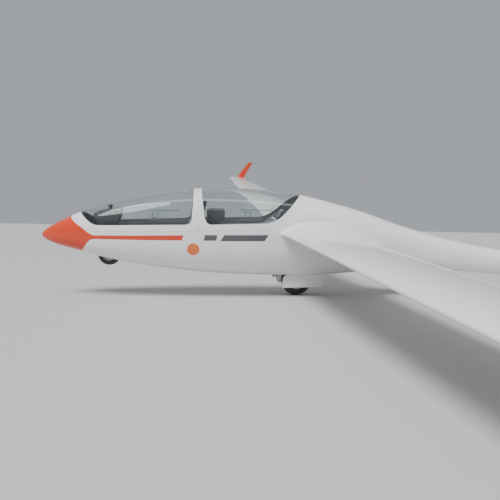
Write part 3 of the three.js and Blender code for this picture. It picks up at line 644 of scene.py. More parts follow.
# %% [markdown]
# ## Finished pieces with true highlights
#
# A cut leaves long thin faces next to its edge, and shading them by their own corners would put
# dents into the reflections. So each corner of a cut skin takes its normal from the uncut skin that
# it came from, wherever the two still lie on each other. That is what makes a highlight run
# unbroken along the fuselage and past the windows.


# %% Shade a cut skin like the whole one
def points_of(body):
    return np.array([v.co for v in body.data.vertices])


def set_points(body, points):
    body.data.vertices.foreach_set("co", points.astype(np.float32).ravel())


class Skin:
    """An uncut surface that lends its normals."""

    def __init__(self, body):
        self.points = points_of(body)
        self.normals = np.array([v.normal for v in body.data.vertices])
        self.faces = [list(p.vertices) for p in body.data.polygons]
        self.tree = BVHTree.FromPolygons(self.points.tolist(), self.faces)

    def normal(self, point, reach=0.6):
        place, _, face, _ = self.tree.find_nearest(point, reach)
        if place is None:
            return None
        corners = self.faces[face]
        weight = 1 / (np.linalg.norm(self.points[corners] - np.array(point), axis=1) + 1e-4) ** 2
        return unit((self.normals[corners] * weight[:, None]).sum(0))


def lend_normals(mesh, skin):
    borrowed = np.zeros((len(mesh.loops), 3))
    lent = [skin.normal(v.co.copy()) for v in mesh.vertices]
    for face in mesh.polygons:
        own = np.array(face.normal)
        for loop in face.loop_indices:
            normal = lent[mesh.loops[loop].vertex_index]
            if normal is not None and normal @ own > 0.8:
                borrowed[loop] = normal
    return borrowed


# %% Give a piece its finish, its place and its name
# Slots of the CAD model and the finishes that fill them; the rest fill panel_black
SLOTS = {
    "gelcoat_white": (FUSELAGE_GELCOAT, WHITE_GELCOAT, VENT_GREY),
    "canopy_acrylic": (ACRYLIC, RAIL_DARK),
    "tyre_rubber": (RUBBER,),
    "wheel_alloy": (ALLOY, POLISHED),
    "painted_steel": (STEEL, DARK_STEEL),
    "liner_grey": (LINER, SHELL_GREY),
    "seat_fabric": (SEAT_CLOTH, REST_CLOTH, PIPING_CLOTH, BELT_CLOTH),
}


def slot_of(material):
    return next((slot for slot, finishes in SLOTS.items() if material in finishes), "panel_black")


def dress(
    body,
    name,
    finishes,
    stands_for=(),
    rides_on="airframe",
    skin=None,
    slot=None,
    sharp=35,
    sort=None,
    pose=None,
):
    """sort picks a finish for each face; pose turns the piece, as drawn, into the drawing's axes."""
    mesh = body.data
    mesh.materials.clear()
    finishes = finishes if isinstance(finishes, list) else [finishes]
    for one in finishes:
        mesh.materials.append(one)
    if sort:
        chosen = [sort(np.array(face.center), np.array(face.normal)) for face in mesh.polygons]
        mesh.polygons.foreach_set("material_index", chosen)
    lent = lend_normals(mesh, skin) if skin else None
    if pose is not None:
        mesh.transform(pose)
        if lent is not None:
            lent = lent @ np.array(pose.to_3x3()).T
    set_points(body, placed(points_of(body)))
    mesh.polygons.foreach_set("use_smooth", [True] * len(mesh.polygons))
    mesh.update()
    mesh.set_sharp_from_angle(angle=math.radians(sharp))
    if lent is not None:
        mesh.normals_split_custom_set(turned(lent).tolist())
    body.name = name
    mesh.name = name
    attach(body, rides_on)
    if stands_for:
        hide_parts(*stands_for)
    slot = slot or slot_of(finishes[0])
    print(f"{name}: {len(mesh.polygons)} faces")
    return body


print("slots of the CAD model", ", ".join(SLOTS))


# %% [markdown]
# ## The fuselage's lines
#
# The pod is widest at the rear seat and then narrows into a slim boom. Its cross-section is a
# superellipse, a shape between an ellipse and a box, a little fuller below than above. Near the nose
# the lines bend quickly, so the batten runs over the square root of the station, which spreads the
# first half metre out. A short running average then fairs the whole line, as long sanding boards do.

# %% Tables and rings of the fuselage
# Columns: station, top, bottom, half width, height of the widest line
FUSELAGE = [
    [0, 722, 710, 6, 716],
    [20, 757, 684, 40, 717],
    [60, 792, 656, 70, 718],
    [150, 850, 617, 118, 720],
    [330, 943, 567, 182, 726],
    [450, 1000, 535, 216, 731],
    [650, 1082, 478, 261, 738],
    [870, 1148, 433, 296, 746],
    [1170, 1221, 383, 330, 754],
    [1500, 1275, 338, 353, 762],
    [1800, 1303, 309, 364, 769],
    [2200, 1312, 283, 368, 777],
    [2600, 1299, 273, 360, 780],
    [3000, 1262, 264, 338, 772],
    [3400, 1178, 280, 304, 745],
    [3800, 1078, 315, 262, 700],
    [4300, 920, 347, 218, 635],
    [5000, 745, 338, 180, 545],
    [5740, 618, 290, 155, 458],
    [6600, 530, 222, 135, 380],
    [7400, 462, 152, 118, 312],
    [7900, 425, 108, 100, 270],
    [8290, 396, 150, 44, 268],
]
FUSELAGE_END = 8290
ROUND_TOP = 2.15
ROUND_BOTTOM = 2.5


def faired(column):
    through = batten([[math.sqrt(row[0]), *row[1:]] for row in FUSELAGE], column)

    def at(x):
        x = np.asarray(x, float)
        reach = np.clip((x - 60) * 0.08, 0, 90) * np.clip((FUSELAGE_END - x) / 300, 0, 1)
        total = 0
        for offset, weight in ((-1.5, 0.1), (-0.75, 0.2), (0, 0.4), (0.75, 0.2), (1.5, 0.1)):
            total = total + weight * through(np.sqrt(np.clip(x + offset * reach, 0, FUSELAGE_END)))
        return total

    return at


hull_top, hull_bottom, hull_half, hull_wide = (faired(column) for column in (1, 2, 3, 4))


def hull_rings(stations, inset=0.0, around=120):
    angle = np.arange(around) * 2 * math.pi / around
    c, s = np.cos(angle), np.sin(angle)
    power = np.where(s > 0, 2 / ROUND_TOP, 2 / ROUND_BOTTOM)
    x = np.asarray(stations, float)[:, None]
    wide = hull_wide(x)
    up = hull_top(x) - inset - wide
    down = wide - hull_bottom(x) - inset
    y = (hull_half(x) - inset) * np.sign(c) * np.abs(c) ** power
    z = wide + np.where(s > 0, up, down) * np.sign(s) * np.abs(s) ** power
    return np.stack([x + 0 * y, y, z], -1)


def hull(start, end, inset=0.0, around=120):
    pod = np.concatenate([np.linspace(0, 150**0.5, 16) ** 2, np.arange(170, 3500, 24)])
    boom = np.concatenate([np.arange(3500, 7800, 70), np.arange(7800, 8290, 30)])
    known = np.concatenate([pod, boom])
    inside = known[(known > start + 2) & (known < end - 2)]
    return hoops(hull_rings([start, *inside, end], inset, around))


def wide_slab(corners):
    return slab(corners, -600, 600)


# Pieces that stand on the fuselage reach this far under its skin
SUNK = 0.15


print("fuselage half width at the rear seat", round(float(hull_half(2200)), 1), "mm")

# %% [markdown]
# ## The cockpit opening and the wheel wells
#
# One outline, seen from the side, gives the opening under both canopies. The hollow of the cockpit is
# the same fuselage shape again, 16 mm further in, cut to length by a second outline. The wells for
# the nose wheel and the main wheel are plain boxes, as they are on the real one.

# %% Outlines in the side view
SILL_FRONT = (545, 797)
SILL_MIDDLE = (1774, 831)
SILL_REAR = (2620, 866)
CANOPY_NOSE = (332, 950)
CANOPY_TAIL = (3060, 1262)
ARCH_SEAM = 1774


def canopy_room(gap, start=0, end=4000):
    corners = [
        (CANOPY_NOSE[0] + gap, CANOPY_NOSE[1] + gap),
        (SILL_FRONT[0] + gap, SILL_FRONT[1] + gap, 60),
        (SILL_MIDDLE[0], SILL_MIDDLE[1] + gap),
        (SILL_REAR[0], SILL_REAR[1] + gap, 60),
        (CANOPY_TAIL[0] - gap * 0.3, CANOPY_TAIL[1] + gap),
        (CANOPY_TAIL[0] + 120, 1500),
        (CANOPY_NOSE[0] - 160, 1500),
    ]
    return common(wide_slab(corners), block(start, end, -700, 700, 0, 1600))


HOLLOW = [
    (352, 1600),
    (352, 930),
    (420, 520),
    (1000, 200),
    (2610, 200),
    (2700, 640),
    (2960, 900),
    (3010, 1190),
    (3130, 1600),
]
HOLLOW_ENDS = (340, 3140)
WALL = 16
NOSE_BOX_TOP = 655
NOSE_BOX = (585, 915, -68, 68, 200, NOSE_BOX_TOP)
NOSE_WELL = (600, 900, -52, 52, 200, 640)
TAIL_WELL = (7836, 8064, -31, 31, 0, 214)
DOOR_FRONT = 2823
DOOR_REAR = 3350
DOOR_HALF = 150
WELL_ROOF = 462
MAIN_WELL = [
    (DOOR_FRONT, 100),
    (DOOR_FRONT, 400, 20),
    (2890, WELL_ROOF, 20),
    (3240, WELL_ROOF, 20),
    (DOOR_REAR, 380, 20),
    (DOOR_REAR, 100),
]
print("cockpit opening", CANOPY_TAIL[0] - CANOPY_NOSE[0], "mm long")

# %% Cut the fuselage and dress it
whole_hull = hull(0, FUSELAGE_END)
OUTER = Skin(whole_hull)
hollow = common(hull(*HOLLOW_ENDS, WALL, 72), wide_slab(HOLLOW))
hollow = cut(hollow, block(*NOSE_BOX))
INNER = Skin(hollow)
fuselage = cut(
    whole_hull,
    canopy_room(1.5),
    hollow,
    block(*NOSE_WELL),
    slab(MAIN_WELL, -DOOR_HALF, DOOR_HALF),
    block(*TAIL_WELL),
)


def inside_or_out(centre, normal):
    return 0 if INNER.normal(Vector(centre), 1.0) is None else 1


# The rudder hangs on a lug below and on the fin above, and turns about the line between them
RUDDER_FOOT = np.array([8316.0, 0, 215])
RUDDER_HEAD = np.array([8424.0, 0, 1572])
rudder_along = unit(RUDDER_HEAD - RUDDER_FOOT)
lug = block(8200, 8346, -15, 15, 180, 210)
lug = cut(lug, rod(RUDDER_FOOT - rudder_along * 24, RUDDER_FOOT + rudder_along * 4, 5.6))
dress(
    join(fuselage, lug),
    "fuselage_skin",
    [FUSELAGE_GELCOAT, LINER],
    ["cockpit_shell", "tail_boom"],
    skin=OUTER,
    sort=inside_or_out,
)

# %% [markdown]
# ## Canopies
#
# Each canopy is one sheet of acrylic in a moulded frame. Frame and sheet are both cut from the same
# fuselage skin, so that the whole top is one continuous curve. The frame is white outside; its edges
# and inside are painted a dark grey that stands for shade.

# %% Window outlines, measured along the glass
FRONT_WINDOW = [
    (440, 1000),
    (479, 967),
    (541, 919, 15),
    (591, 885, 15),
    (644, 867, 25),
    (1023, 884),
    (1649, 906, 20),
    (1691, 925, 15),
    (1704, 963, 15),
    (1709, 1020, 15),
    (1723, 1188),
    (1731, 1500),
    (200, 1500),
]
REAR_WINDOW = [
    (1814, 1500),
    (1815, 1296),
    (1822, 1191, 20),
    (1836, 1100, 20),
    (1844, 1026, 15),
    (1854, 976, 15),
    (1876, 930, 20),
    (1919, 913, 15),
    (2584, 941, 20),
    (2650, 962, 20),
    (2712, 996, 20),
    (2779, 1051, 20),
    (2859, 1131, 20),
    (2928, 1200, 20),
    (3000, 1262),
    (3210, 1500),
]
FRAME_THICKNESS = 14
GLASS_THICKNESS = 4
CANOPY_GAP = 3
HALF_SEAM = 1.5


def canopy_hull(inset=0.0, shorter=0, around=120):
    """The part of the fuselage's shape that holds both canopies."""
    return hull(200 + shorter, 3300 - shorter, inset, around)


def frame_side(centre, normal):
    """0 on the white outside of a frame, 1 on its edges and inside, which carry painted shade."""
    on_skin = OUTER.normal(Vector(centre), 0.5)
    return 0 if on_skin is not None and on_skin @ normal > 0.8 else 1


def canopy_ends(end, gap):
    """From where to where a canopy reaches, with a gap between it and the arch's seam."""
    return (0, ARCH_SEAM - gap) if end == "front" else (ARCH_SEAM + gap, 4000)


WINDOWS = {"front": FRONT_WINDOW, "rear": REAR_WINDOW}
HINGE_ROWS = {
    "front": {"at": (1480, 360, 820.9), "along": (1, 0.05, 0.02767), "offsets": (-240, 170)},
    "rear": {"at": (2200, 378, 827.0), "along": (1, 0, 0), "offsets": (-240, 60)},
}


def hinge_points(end):
    """The middle of each hinge of a canopy, with the direction of its pin."""
    row = HINGE_ROWS[end]
    along = unit(np.array(row["along"], float))
    return [(np.array(row["at"]) + along * offset, along) for offset in row["offsets"]]


def hinge_arm(k, along):
    """An arm that hangs from a frame and ends in an eye."""
    low = k[2] + 8
    arm = join(
        block(k[0] - 11, k[0] + 11, k[1] - 24, k[1] + 5, low, low + 14),
        block(k[0] - 11, k[0] + 11, k[1] - 5, k[1] + 5, k[2], low + 14),
        rod(k - along * 11, k + along * 11, 7),
    )
    return cut(arm, rod(k - along * 14, k + along * 14, 4.2))


for end in WINDOWS:
    print(end, "canopy hinges at X", [round(float(point[0])) for point, _ in hinge_points(end)])


# %% Cut both canopies from the fuselage's shape
for end, window in WINDOWS.items():
    skin = common(canopy_hull(), canopy_room(CANOPY_GAP, *canopy_ends(end, HALF_SEAM)))
    pane = common(copy_of(skin), wide_slab(window))
    pane = cut(pane, canopy_hull(GLASS_THICKNESS, 5))
    border = cut(skin, canopy_hull(FRAME_THICKNESS, 5, 84), wide_slab(window))
    for point, along in hinge_points(end):
        border = join(border, hinge_arm(point, along))
    canopy = f"canopy_{end}"
    # The frame's edges and inside take the dark grey of painted shade.
    sides = [WHITE_GELCOAT, FRAME_SHADE_AND_BEZEL_GREY]
    dress(border, f"{canopy}_border", sides, [f"{canopy}_frame"], canopy, skin=OUTER, sort=frame_side)
    glass = dress(pane, f"{canopy}_pane", ACRYLIC, [f"{canopy}_glass"], canopy, skin=OUTER)
    glass.visible_shadow = False

# %% [markdown]
# ## Wings
#
# A sailplane's wing is long, thin and tapered. It is moulded in two halves that meet at the leading
# edge, so its section is one smooth line. Each ring below is that section, at the right chord for its
# place along the span. The first stations are fuller, which gives the rounded fillet where the wing
# grows out of the fuselage. The wing is drawn flat, and then set at its dihedral and incidence.

# %% The wing's tables
WING_ROOT = (2756, 0, 806)
DIHEDRAL = math.atan(0.0477)
INCIDENCE = math.radians(6.5)
# Columns: span station, leading edge, chord, thickness factor
WING = [
    [240, -70, 1370, 1.62],
    [330, -44, 1290, 1.38],
    [400, -20, 1228, 1.17],
    [500, -3, 1182, 1.05],
    [700, 8, 1138, 1],
    [1500, 18, 1090, 1],
    [2600, 31, 1024, 1],
    [4000, 48, 950, 0.98],
    [4900, 59, 887, 0.96],
    [6000, 72, 800, 0.93],
    [7000, 84, 680, 0.9],
    [8200, 98, 526, 0.87],
    [8450, 128, 482, 0.86],
    [8650, 205, 400, 0.85],
    [8800, 305, 302, 0.82],
    [8900, 404, 203, 0.78],
]
# Columns: fraction of the chord, upper side, lower side
AIRFOIL = [
    [0, 0, 0],
    [0.006, 0.014, -0.01],
    [0.025, 0.031, -0.019],
    [0.07, 0.055, -0.029],
    [0.15, 0.08, -0.038],
    [0.28, 0.1, -0.045],
    [0.42, 0.106, -0.047],
    [0.56, 0.098, -0.043],
    [0.7, 0.075, -0.032],
    [0.82, 0.047, -0.018],
    [0.92, 0.021, -0.007],
    [1, 0.002, -0.002],
]
# Half thickness of the thin symmetrical section of tail and winglets
SLIM = [
    [0, 0],
    [0.01, 0.28],
    [0.05, 0.55],
    [0.15, 0.84],
    [0.3, 1],
    [0.5, 0.93],
    [0.7, 0.65],
    [0.85, 0.35],
    [1, 0.03],
]
SHARES = (1 - np.cos(np.linspace(0, math.pi, 31))) / 2


def section_line(rows, column):
    return batten([[math.sqrt(row[0]), row[column]] for row in rows], 1)(np.sqrt(SHARES))


UPPER = section_line(AIRFOIL, 1)
LOWER = section_line(AIRFOIL, 2)
THIN = section_line(SLIM, 1)


def section(leading, chord, upper, lower, inset=0.0):
    """Points around a section, as distance aft and height, moved inwards by inset."""
    drawn_in = np.minimum(inset, 0.4 * (upper - lower))
    aft = leading + SHARES * chord
    over = np.stack([aft, upper - drawn_in], 1)
    under = np.stack([aft, lower + drawn_in], 1)[:0:-1]
    return np.concatenate([over, under])


def slim_section(lines, at, inset=0.0):
    """The thin section where leading edge, trailing edge and half thickness follow three lines."""
    leading, trailing, half = (float(line(at)) for line in lines)
    return section(leading, trailing - leading, THIN * half, -THIN * half, inset)


wing_edge, wing_chord, wing_factor = battens(WING)


def wing_ring(y, inset=0.0):
    chord, factor = float(wing_chord(y)), float(wing_factor(y))
    flat = section(float(wing_edge(y)), chord, UPPER * chord * factor, LOWER * chord * factor, inset)
    return np.stack([flat[:, 0], np.full(len(flat), y), flat[:, 1]], 1)


# Columns: where a stretch of the span starts and ends, and how far apart its rings are
WING_STEPS = [(240, 500, 13), (500, 1000, 50), (1000, 8200, 150), (8200, 8901, 25)]


def wing_loft(start=240, end=8900, inset=0.0):
    stations = np.concatenate([np.arange(*step) for step in WING_STEPS])
    inside = stations[(stations > start + 1) & (stations < end - 1)]
    return hoops([wing_ring(y, inset) for y in (start, *inside, end)])


def wing_stand(rise):
    turned_up = Matrix.Translation(WING_ROOT) @ Matrix.Rotation(rise, 4, "X")
    return turned_up @ Matrix.Rotation(INCIDENCE, 4, "Y")


WING_STAND = {"right": wing_stand(DIHEDRAL), "left": wing_stand(-DIHEDRAL)}
print("section's thickness", round(float((UPPER - LOWER).max()) * 100, 1), "% of the chord")

# %% [markdown]
# ## Ailerons and airbrakes
#
# The aileron turns about a line at 82 % of the chord. Its nose is round about that line and tucks
# under thin lips of the wing's skin, so the gap stays narrow however far it turns. The airbrake is a
# perforated blade that rises out of a slot, with a cap of wing skin on top that closes the slot.

# %% Control surfaces in general
LIP = 0.8
LIP_END = 3


def hinged_flap(whole, nose, behind, step, ends=0):
    """A control surface with a round nose that clears the lips of the fixed part."""
    rear = common(copy_of(whole), behind(-step, ends))
    front = common(common(copy_of(whole), behind(0, ends)), nose)
    return join(rear, front)


def gap_tools(inner, behind, deep, ends, inner_ends):
    """The gap ahead of a control surface: narrow at the skin and wide beneath it."""
    return [behind(LIP_END, ends), common(inner, behind(deep, inner_ends))]


print("lips are", LIP, "mm thick and end", LIP_END, "mm ahead of the hinge line")


# %% Aileron line, nose and pins
AILERON_IN, AILERON_OUT, AILERON_AT = 4900, 8200, 0.82
AILERON_PIN = 5
PIN_CLEARANCE = 0.5


def aileron_point(y):
    chord = float(wing_chord(y))
    return np.array([float(wing_edge(y)) + AILERON_AT * chord, y, 0.0145 * chord])


AILERON_START, AILERON_STOP = aileron_point(AILERON_IN), aileron_point(AILERON_OUT)
aileron_along = unit(AILERON_STOP - AILERON_START)


def behind_aileron(gap, ends):
    corners = [
        (AILERON_START[0] - gap, AILERON_IN + ends),
        (AILERON_START[0] + 400, AILERON_IN + ends),
        (AILERON_STOP[0] + 400, AILERON_OUT - ends),
        (AILERON_STOP[0] - gap, AILERON_OUT - ends),
    ]
    return slab(corners, -200, 200, "z")


def aileron_pins(reach, radius):
    """Pins out of both ends of the aileron, or a little longer and thicker, their bores."""
    ends = ((AILERON_START, -aileron_along), (AILERON_STOP, aileron_along))
    return [rod(end - out * 40, end + out * reach, radius) for end, out in ends]


whole_wing = wing_loft()
aileron_nose = rod(
    AILERON_START - aileron_along,
    AILERON_STOP + aileron_along,
    0.0307 * 0.96 * float(wing_chord(AILERON_IN)),
    0.0279 * 0.87 * float(wing_chord(AILERON_OUT)),
    sides=64,
)
aileron = hinged_flap(whole_wing, aileron_nose, behind_aileron, 7.5, 3)
aileron = join(aileron, *aileron_pins(16, AILERON_PIN))
print("aileron from", AILERON_IN, "to", AILERON_OUT, "mm out from the middle")

# %% Airbrake: slot, blade and cap
BRAKE_IN, BRAKE_OUT, BRAKE_AT = 2600, 4000, 455
BRAKE_CAP = 13
BRAKE_FOOT = -24


def brake_box(half, shorter, low):
    return block(BRAKE_AT - half, BRAKE_AT + half, BRAKE_IN + shorter, BRAKE_OUT - shorter, low, 200)


def brake_wing(inset):
    return wing_loft(BRAKE_IN - 60, BRAKE_OUT + 60, inset)


brake_cap = cut(common(copy_of(whole_wing), brake_box(9.5, 2, 20)), brake_wing(BRAKE_CAP))
brake_blade = common(brake_wing(BRAKE_CAP - 2), brake_box(2.5, 8, BRAKE_FOOT))
brake_holes = [
    rod((BRAKE_AT - 9, y, z), (BRAKE_AT + 9, y, z), 13, sides=20)
    for z in (10, 48)
    for y in np.arange(BRAKE_IN + 50, BRAKE_OUT - 40, 50)
]
brake_blade = cut(brake_blade, many(*brake_holes))
brake_stops = [
    block(BRAKE_AT - 8, BRAKE_AT + 8, y, y + 12, BRAKE_FOOT, -6) for y in (BRAKE_IN + 4, BRAKE_OUT - 16)
]
brake = join(brake_cap, join(brake_blade, *brake_stops))
print("airbrake holes", len(brake_holes))

# %% [markdown]
# ## Winglets, tip skids and the wing's own skin
#
# The tip turns up into a small fin. Its root is white like the wing, and the blade is red. Under the
# tip sits a short black skid, which is what the parked sailplane leans on.

# %% Winglet and tip skid
# Columns: span station, height, leading edge, chord, half thickness, lean in degrees
WINGLET = [
    [8900.3, 4, 405, 202, 11, 0],
    [8936, 22, 412, 199, 10, 48],
    [8962, 96, 446, 187, 9, 80],
    [8984, 290, 560, 155, 7, 86],
    [9000, 508, 697, 122, 5, 86],
]
WINGLET_RED_FROM = 9
reach = np.cumsum([0] + [math.dist(a[:2], b[:2]) for a, b in zip(WINGLET, WINGLET[1:])])
winglet_rows = [[r, *row] for r, row in zip(reach, WINGLET)]
winglet_lines = battens(winglet_rows)
winglet_rings = []
for r in np.concatenate([np.linspace(0, reach[2], 24), np.linspace(reach[2], reach[-1], 14)[1:]]):
    y, z, leading, chord, half, lean = (float(line(r)) for line in winglet_lines)
    flat = section(leading, chord, THIN * half, -THIN * half)
    away = math.radians(lean)
    winglet_rings.append(
        np.stack([flat[:, 0], y - math.sin(away) * flat[:, 1], z + math.cos(away) * flat[:, 1]], 1)
    )
winglet = hoops(winglet_rings)

SKID_AT, SKID_DROP, SKID_HALF = 8450, 134.5, 16
skid_edge = float(wing_edge(SKID_AT))
skid_outline = [
    (skid_edge + 60, 0),
    (skid_edge + 90, -SKID_DROP, 40),
    (skid_edge + 260, -SKID_DROP, 60),
    (skid_edge + 330, 0),
]
tip_skid = softened(slab(skid_outline, SKID_AT - SKID_HALF, SKID_AT + SKID_HALF), 7, 4)
tip_skid = cut(tip_skid, wing_loft(8200, 8700))
print("winglet", WINGLET[-1][1], "mm high, skid", SKID_DROP, "mm deep")


# %% Both wings and what they carry
def sided(body, side):
    """A piece drawn for the right wing, turned over for the left one."""
    return body if side == "right" else moved(body, MIRROR)


TIE_DOWN_PAD = (430, 490, 4300, 4360, -62, 0)
BRAKE_CAP_FOOT = 92
hull_at_wing = hull(1800, 5200, SUNK)
aileron_gap = gap_tools(wing_loft(4800, 8300, LIP), behind_aileron, 15, 0, 0)


def make_wing(side):
    pose = WING_STAND[side]
    lender = sided(copy_of(whole_wing), side)
    skin = Skin(lender)
    wing = join(lender, sided(softened(block(*TIE_DOWN_PAD), 6), side))
    wing = cut(wing, moved(copy_of(hull_at_wing), pose.inverted()))
    openings = [copy_of(tool) for tool in aileron_gap]
    openings.append(brake_box(10.5, 0, -28))
    openings += aileron_pins(20, AILERON_PIN + PIN_CLEARANCE)
    wing = cut(wing, *[sided(tool, side) for tool in openings])

    def cap_or_blade(centre, normal):
        on_skin = skin.normal(Vector(centre), 0.3) is not None
        return 0 if on_skin or centre[2] > BRAKE_CAP_FOOT else 1

    def white_or_red(centre, normal):
        return 1 if centre[2] > WINGLET_RED_FROM else 0

    def wing_piece(body, name, finishes, stands_for, **more):
        dress(sided(body, side), name, finishes, [stands_for], pose=pose, **more)

    name = f"wing_{side}"
    dress(wing, f"{name}_skin", WHITE_GELCOAT, [name], skin=skin, pose=pose)
    name = f"aileron_{side}"
    wing_piece(copy_of(aileron), f"{name}_skin", WHITE_GELCOAT, name, rides_on=name, skin=skin)
    name = f"airbrake_{side}"
    metals = [WHITE_GELCOAT, BRAKE_METAL]
    wing_piece(copy_of(brake), f"{name}_blade", metals, name, rides_on=name, skin=skin, sort=cap_or_blade)
    name = f"winglet_{side}"
    colours = [WHITE_GELCOAT, RED_GELCOAT]
    wing_piece(copy_of(winglet), f"{name}_blade", colours, name, slot="gelcoat_red", sort=white_or_red)
    name = f"tip_skid_{side}"
    wing_piece(copy_of(tip_skid), f"{name}_shoe", SKID_BLACK, name)


make_wing("right")
make_wing("left")
drop(whole_wing, aileron, brake, winglet, tip_skid, hull_at_wing, *aileron_gap)

# %% [markdown]
# ## The T-tail
#
# The fin grows out of the boom and carries the tailplane on top, out of the wing's wake. Rudder and
# elevator hang behind them with the same round noses and thin lips as the ailerons.

# %% Fin and rudder
# Columns: height, leading edge, trailing edge, half thickness
FIN = [
    [205, 7180, 8604, 66],
    [330, 7270, 8632, 65],
    [480, 7400, 8656, 63],
    [700, 7525, 8660, 59],
    [1100, 7690, 8648, 52],
    [1560, 7872, 8624, 44],
    [1722, 7940, 8612, 42],
]
fin_lines = battens(FIN)


def fin_loft(inset=0.0):
    rings = []
    for z in np.linspace(FIN[0][0], FIN[-1][0], 50):
        flat = slim_section(fin_lines, z, inset)
        rings.append(np.stack([flat[:, 0], flat[:, 1], np.full(len(flat), z)], 1))
    return hoops(rings)


def behind_rudder(gap, ends):
    corners = [
        (RUDDER_FOOT[0] - gap, RUDDER_FOOT[2] - ends),
        (9000, RUDDER_FOOT[2] - ends),
        (9000, RUDDER_HEAD[2] + ends),
        (RUDDER_HEAD[0] - gap, RUDDER_HEAD[2] + ends),
    ]
    return slab(corners, -200, 200)


# Columns: span station, leading edge, trailing edge, half thickness
TAILPLANE = [
    [0, 7975, 8606, 33],
    [900, 8055, 8592, 27],
    [1440, 8110, 8578, 21],
    [1520, 8140, 8568, 17],
    [1550, 8180, 8552, 11],
]
TAILPLANE_Z = 1722
tail_lines = battens(TAILPLANE)


def tailplane_loft(inset=0.0):
    rings = []
    outer = np.concatenate([np.linspace(0, 1400, 25), np.linspace(1410, 1550, 15)])
    for y in np.concatenate([-outer[:0:-1], outer]):
        flat = slim_section(tail_lines, abs(y), inset)
        rings.append(np.stack([flat[:, 0], np.full(len(flat), y), TAILPLANE_Z + flat[:, 1]], 1))
    return hoops(rings)


RUDDER_PIN = 5
whole_fin = fin_loft()
FIN_SKIN = Skin(whole_fin)
rudder_nose = rod(RUDDER_FOOT - rudder_along * 2, RUDDER_HEAD + rudder_along * 2, 28.6, 23.8, sides=64)
rudder = join(
    hinged_flap(whole_fin, rudder_nose, behind_rudder, 15),
    rod(RUDDER_FOOT - rudder_along * 21, RUDDER_FOOT + rudder_along * 40, RUDDER_PIN),
    rod(RUDDER_HEAD - rudder_along * 40, RUDDER_HEAD + rudder_along * 23, RUDDER_PIN),
)
fin = common(whole_fin, block(7000, 8452, -200, 200, 300, 1800))
fin = cut(
    fin,
    hull(6600, FUSELAGE_END, SUNK),
    *gap_tools(fin_loft(LIP), behind_rudder, 36, 4, 8),
    tailplane_loft(),
    block(8398, 9000, -200, 200, 1668, 1800),
    rod(RUDDER_HEAD - rudder_along * 4, RUDDER_HEAD + rudder_along * 26, RUDDER_PIN + PIN_CLEARANCE),
)
probe = join(
    rod((7452, 0, 1411.5), (7840, 0, 1396), 5, sides=20),
    rod((7440, 0, 1412), (7456, 0, 1411.4), 3.4, 5, sides=20),
    rod((7700, 0, 1401.6), (7860, 0, 1395.2), 5, 14, sides=20),
)
fin = join(fin, cut(probe, rod((7430, 0, 1412.4), (7450, 0, 1411.6), 1.8, sides=12)))
dress(fin, "fin_skin", WHITE_GELCOAT, ["fin"], skin=FIN_SKIN)
dress(rudder, "rudder_skin", WHITE_GELCOAT, ["rudder"], "rudder", skin=FIN_SKIN)

# %% Tailplane and elevator
ELEVATOR_X, ELEVATOR_HALF_SPAN, ELEVATOR_PIN = 8430, 1440, 4
whole_tailplane = tailplane_loft()
TAILPLANE_SKIN = Skin(whole_tailplane)


def behind_elevator(gap, ends):
    half = ELEVATOR_HALF_SPAN + ends
    return block(ELEVATOR_X - gap, 9000, -half, half, 1500, 1900)


def elevator_rods(start, past, radius, end_radius=None, sides=24):
    """One rod to each side on the hinge line, from start to a little past the elevator's end."""
    ends = [(way * start, way * (ELEVATOR_HALF_SPAN + past)) for way in (-1, 1)]
    return [cross_rod(ELEVATOR_X, TAILPLANE_Z, *pair, radius, end_radius, sides) for pair in ends]


elevator_nose = join(*elevator_rods(0, 1, 18.6, 12.8, 64))
elevator = hinged_flap(whole_tailplane, elevator_nose, behind_elevator, 8)
elevator = join(elevator, *elevator_rods(ELEVATOR_HALF_SPAN - 40, 21, ELEVATOR_PIN))
tailplane = cut(
    whole_tailplane,
    *gap_tools(tailplane_loft(LIP), behind_elevator, 16, 3, 5),
    *elevator_rods(ELEVATOR_HALF_SPAN - 40, 24, ELEVATOR_PIN + PIN_CLEARANCE),
)
dress(tailplane, "tailplane_skin", WHITE_GELCOAT, ["tailplane"], skin=TAILPLANE_SKIN)
dress(elevator, "elevator_skin", WHITE_GELCOAT, ["elevator"], "elevator", skin=TAILPLANE_SKIN)

# %% [markdown]
# ## Wheels
#
# A wheel is turned, so it is drawn as half a cross-section and swept round its axle. The tyre's crown
# carries narrow grooves, which are real dents in the profile. The hub is a casting with a
# dished web, six holes to save weight, a ring of bolts and, on the main wheel, a brake disc.


# %% Turned bodies
def on_circle(x, z, radius, angles):
    return [(x + radius * math.cos(a), z + radius * math.sin(a)) for a in angles]


def lathe(profile, x=0, z=0, sides=96):
    """Sweeps a closed loop of (radius, Y) round a line along Y."""
    radius, y = np.asarray(profile, float).T
    angle = np.linspace(0, 2 * math.pi, sides, endpoint=False)[:, None]
    return closed_hoops(np.stack([x + radius * np.cos(angle), y + 0 * angle, z + radius * np.sin(angle)], -1))


CROWN = batten([[0, 1], [0.05, 0.9995], [0.13, 0.989], [0.24, 0.963], [0.34, 0.928], [0.42, 0.887]], 1)
SIDEWALL = [
    (0.86, 0.443),
    (0.83, 0.468),
    (0.79, 0.487),
    (0.75, 0.494),
    (0.7, 0.487),
    (0.695, 0.476),
    (0.66, 0.468),
    (0.655, 0.475),
    (0.62, 0.452),
    (0.59, 0.428),
    (0.575, 0.4),
]


